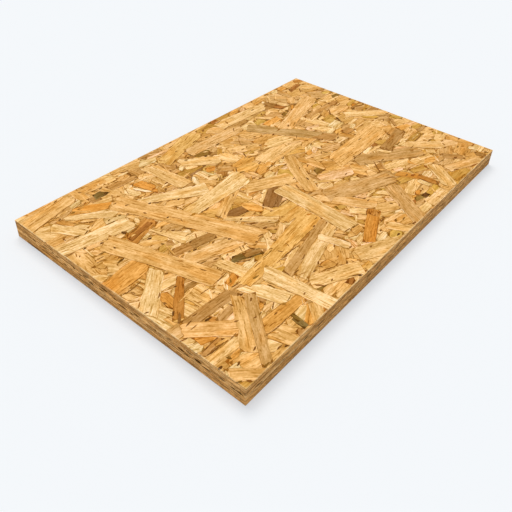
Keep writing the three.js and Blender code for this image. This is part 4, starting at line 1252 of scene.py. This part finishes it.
# painted shade: thin dark flakes that stand for pits on the under face
UNDER_PITS = 120, (2, 8), (1.4, 3), (0.1, 0.14), 0.9, ("pit", "umber", "khaki", "umber")
FINES_BELOW, FINES_ABOVE = 200, 160     # fines under and over the bed; the others are drawn but not laid

face_wood, edge_wood, core_wood = strand_material(), edge_material(), core_material()


def build_face(rng, label, upward, bed, large, spots):
    """One face: the ground, thrown strands, the bed, fines, the large strands, then pits, their dark marks
    partly painted shade.
    """
    loose, small, fines = (scattered(rng, *kind) for kind in (LOOSE, SMALL, FINES))
    pile = ground(rng) + mixed(rng, loose, small, fines[:FINES_BELOW]) + bed
    pile += fines[FINES_BELOW:FINES_BELOW + FINES_ABOVE] + large + spots
    strands, flakes = Pile(), Pile()
    for shown in press(pile):
        (strands if shown[1].length > LONG else flakes).add_strand(*shown)
    face_piece(label + "_strands", strands, upward, face_wood)
    face_piece(label + "_flakes", flakes, upward, face_wood)


rng = np.random.default_rng(20)
bed, large = named_strands(rng, BED), named_strands(rng, LARGE)
build_face(rng, "upper", True, bed, large, named_spots(rng, SPOTS))
under_bed = mixed(rng, scattered(rng, *UNDER_LONG), scattered(rng, *UNDER_SHORT))
under_pits = scattered(rng, *UNDER_PITS)
build_face(rng, "under", False, under_bed, scattered(rng, *UNDER_LARGE), under_pits)
edge_piece("sawn_edges", edge_wood, rng)
core_piece("core", core_wood, rng)

# ---------------------------------------------------------------- studio

CAMERA_PLACE = Vector((-478.2, -346.7, 417.4)) * MM
CAMERA_AIM = Vector((-36.49, 5.11, 4.0)) * MM
CAMERA_ROLL = math.radians(2.32)
LENS, SENSOR = 41.89, 36                # mm
SHIFT = -0.0996                         # down, as a share of the sensor
CLIP = 0.01, 20                         # metres

PAPER = (*linear((244, 248, 252)), 1)
SKY_STRENGTH = 0.50
SUN_STRENGTH, SUN_WIDTH = 1.72, math.radians(36)
SUN_DIRECTION = Vector((-0.25, -0.38, -1))
FLOOR_REACH, FLOOR_DROP = 6.0, 0.0001   # metres
FLOOR_TINT = (1.06, 1, 0.94, 1)         # of the part of the floor that takes shadow
GLOW_TINT = (0.96, 1, 1.04, 1)          # of the part that glows by itself
GLOW_SHARE = 0.52
UNSEEN_GREY = (0.8, 0.8, 0.8, 1)        # of the floor as it lights the panel


def placed(name, data, direction):
    """A lamp or the camera in the scene, turned so that it looks in a direction."""
    item = bpy.data.objects.new(name, data)
    item.rotation_mode = "QUATERNION"
    item.rotation_quaternion = direction.to_track_quat("-Z", "Y")
    bpy.context.collection.objects.link(item)
    return item


def seen_rays(tree):
    """One for the rays that show a surface, straight or in a gloss or a glass, and none for the others."""
    path = tree.nodes.new("ShaderNodeLightPath").outputs
    share = path["Is Camera Ray"]
    for other in ("Is Glossy Ray", "Is Transmission Ray"):
        larger = tree.nodes.new("ShaderNodeMath")
        larger.operation = "MAXIMUM"
        tree.links.new(share, larger.inputs[0])
        tree.links.new(path[other], larger.inputs[1])
        share = larger.outputs[0]
    return share


camera_data = bpy.data.cameras.new("camera")
camera_data.lens, camera_data.sensor_width, camera_data.shift_y = LENS, SENSOR, SHIFT
camera_data.clip_start, camera_data.clip_end = CLIP
camera = placed("camera", camera_data, CAMERA_AIM - CAMERA_PLACE)
camera.location = CAMERA_PLACE
camera.rotation_quaternion = camera.rotation_quaternion @ Matrix.Rotation(CAMERA_ROLL, 3, "Z").to_quaternion()
bpy.context.scene.camera = camera

sun_data = bpy.data.lights.new("softbox", "SUN")
sun_data.energy, sun_data.angle = SUN_STRENGTH, SUN_WIDTH
placed("softbox", sun_data, SUN_DIRECTION)

world = bpy.data.worlds.new("studio")
world.use_nodes = True
sky = world.node_tree
light, backdrop = sky.nodes["Background"], sky.nodes.new("ShaderNodeBackground")
for node, colour, strength in ((light, WHITE, SKY_STRENGTH), (backdrop, PAPER, 1.0)):
    node.inputs["Color"].default_value, node.inputs["Strength"].default_value = colour, strength
both = sky.nodes.new("ShaderNodeMixShader")
for place, source in enumerate((seen_rays(sky), light.outputs[0], backdrop.outputs[0])):
    sky.links.new(source, both.inputs[place])
sky.links.new(both.outputs[0], sky.nodes["World Output"].inputs["Surface"])
bpy.context.scene.world = world

paper = Tree("paper")
paper.to_shader(Base_Color=tuple(np.multiply(PAPER, FLOOR_TINT)), Roughness=0.9, Specular_IOR_Level=0.0)
glow = paper.add("ShaderNodeEmission", {"Color": tuple(np.multiply(PAPER, GLOW_TINT)), "Strength": 1.0})
lit = paper.add("ShaderNodeMixShader", {0: GLOW_SHARE, 1: paper.shader.outputs[0], 2: glow.outputs[0]})
grey = paper.add("ShaderNodeBsdfDiffuse", {"Color": UNSEEN_GREY})
both = paper.add("ShaderNodeMixShader", {0: seen_rays(paper), 1: grey.outputs[0], 2: lit.outputs[0]})
paper.links.new(both.outputs[0], paper.nodes["Material Output"].inputs["Surface"])

floor_mesh = bpy.data.meshes.new("floor")
corners = [(x * FLOOR_REACH, y * FLOOR_REACH, 0) for x, y in ((-1, -1), (1, -1), (1, 1), (-1, 1))]
floor_mesh.from_pydata(corners, [], [(0, 1, 2, 3)])
floor_mesh.materials.append(paper.material)
floor = bpy.data.objects.new("floor", floor_mesh)
floor.location.z = -FLOOR_DROP
bpy.context.collection.objects.link(floor)

bpy.context.scene.view_settings.view_transform = "Standard"

bpy.context.view_layer.update()
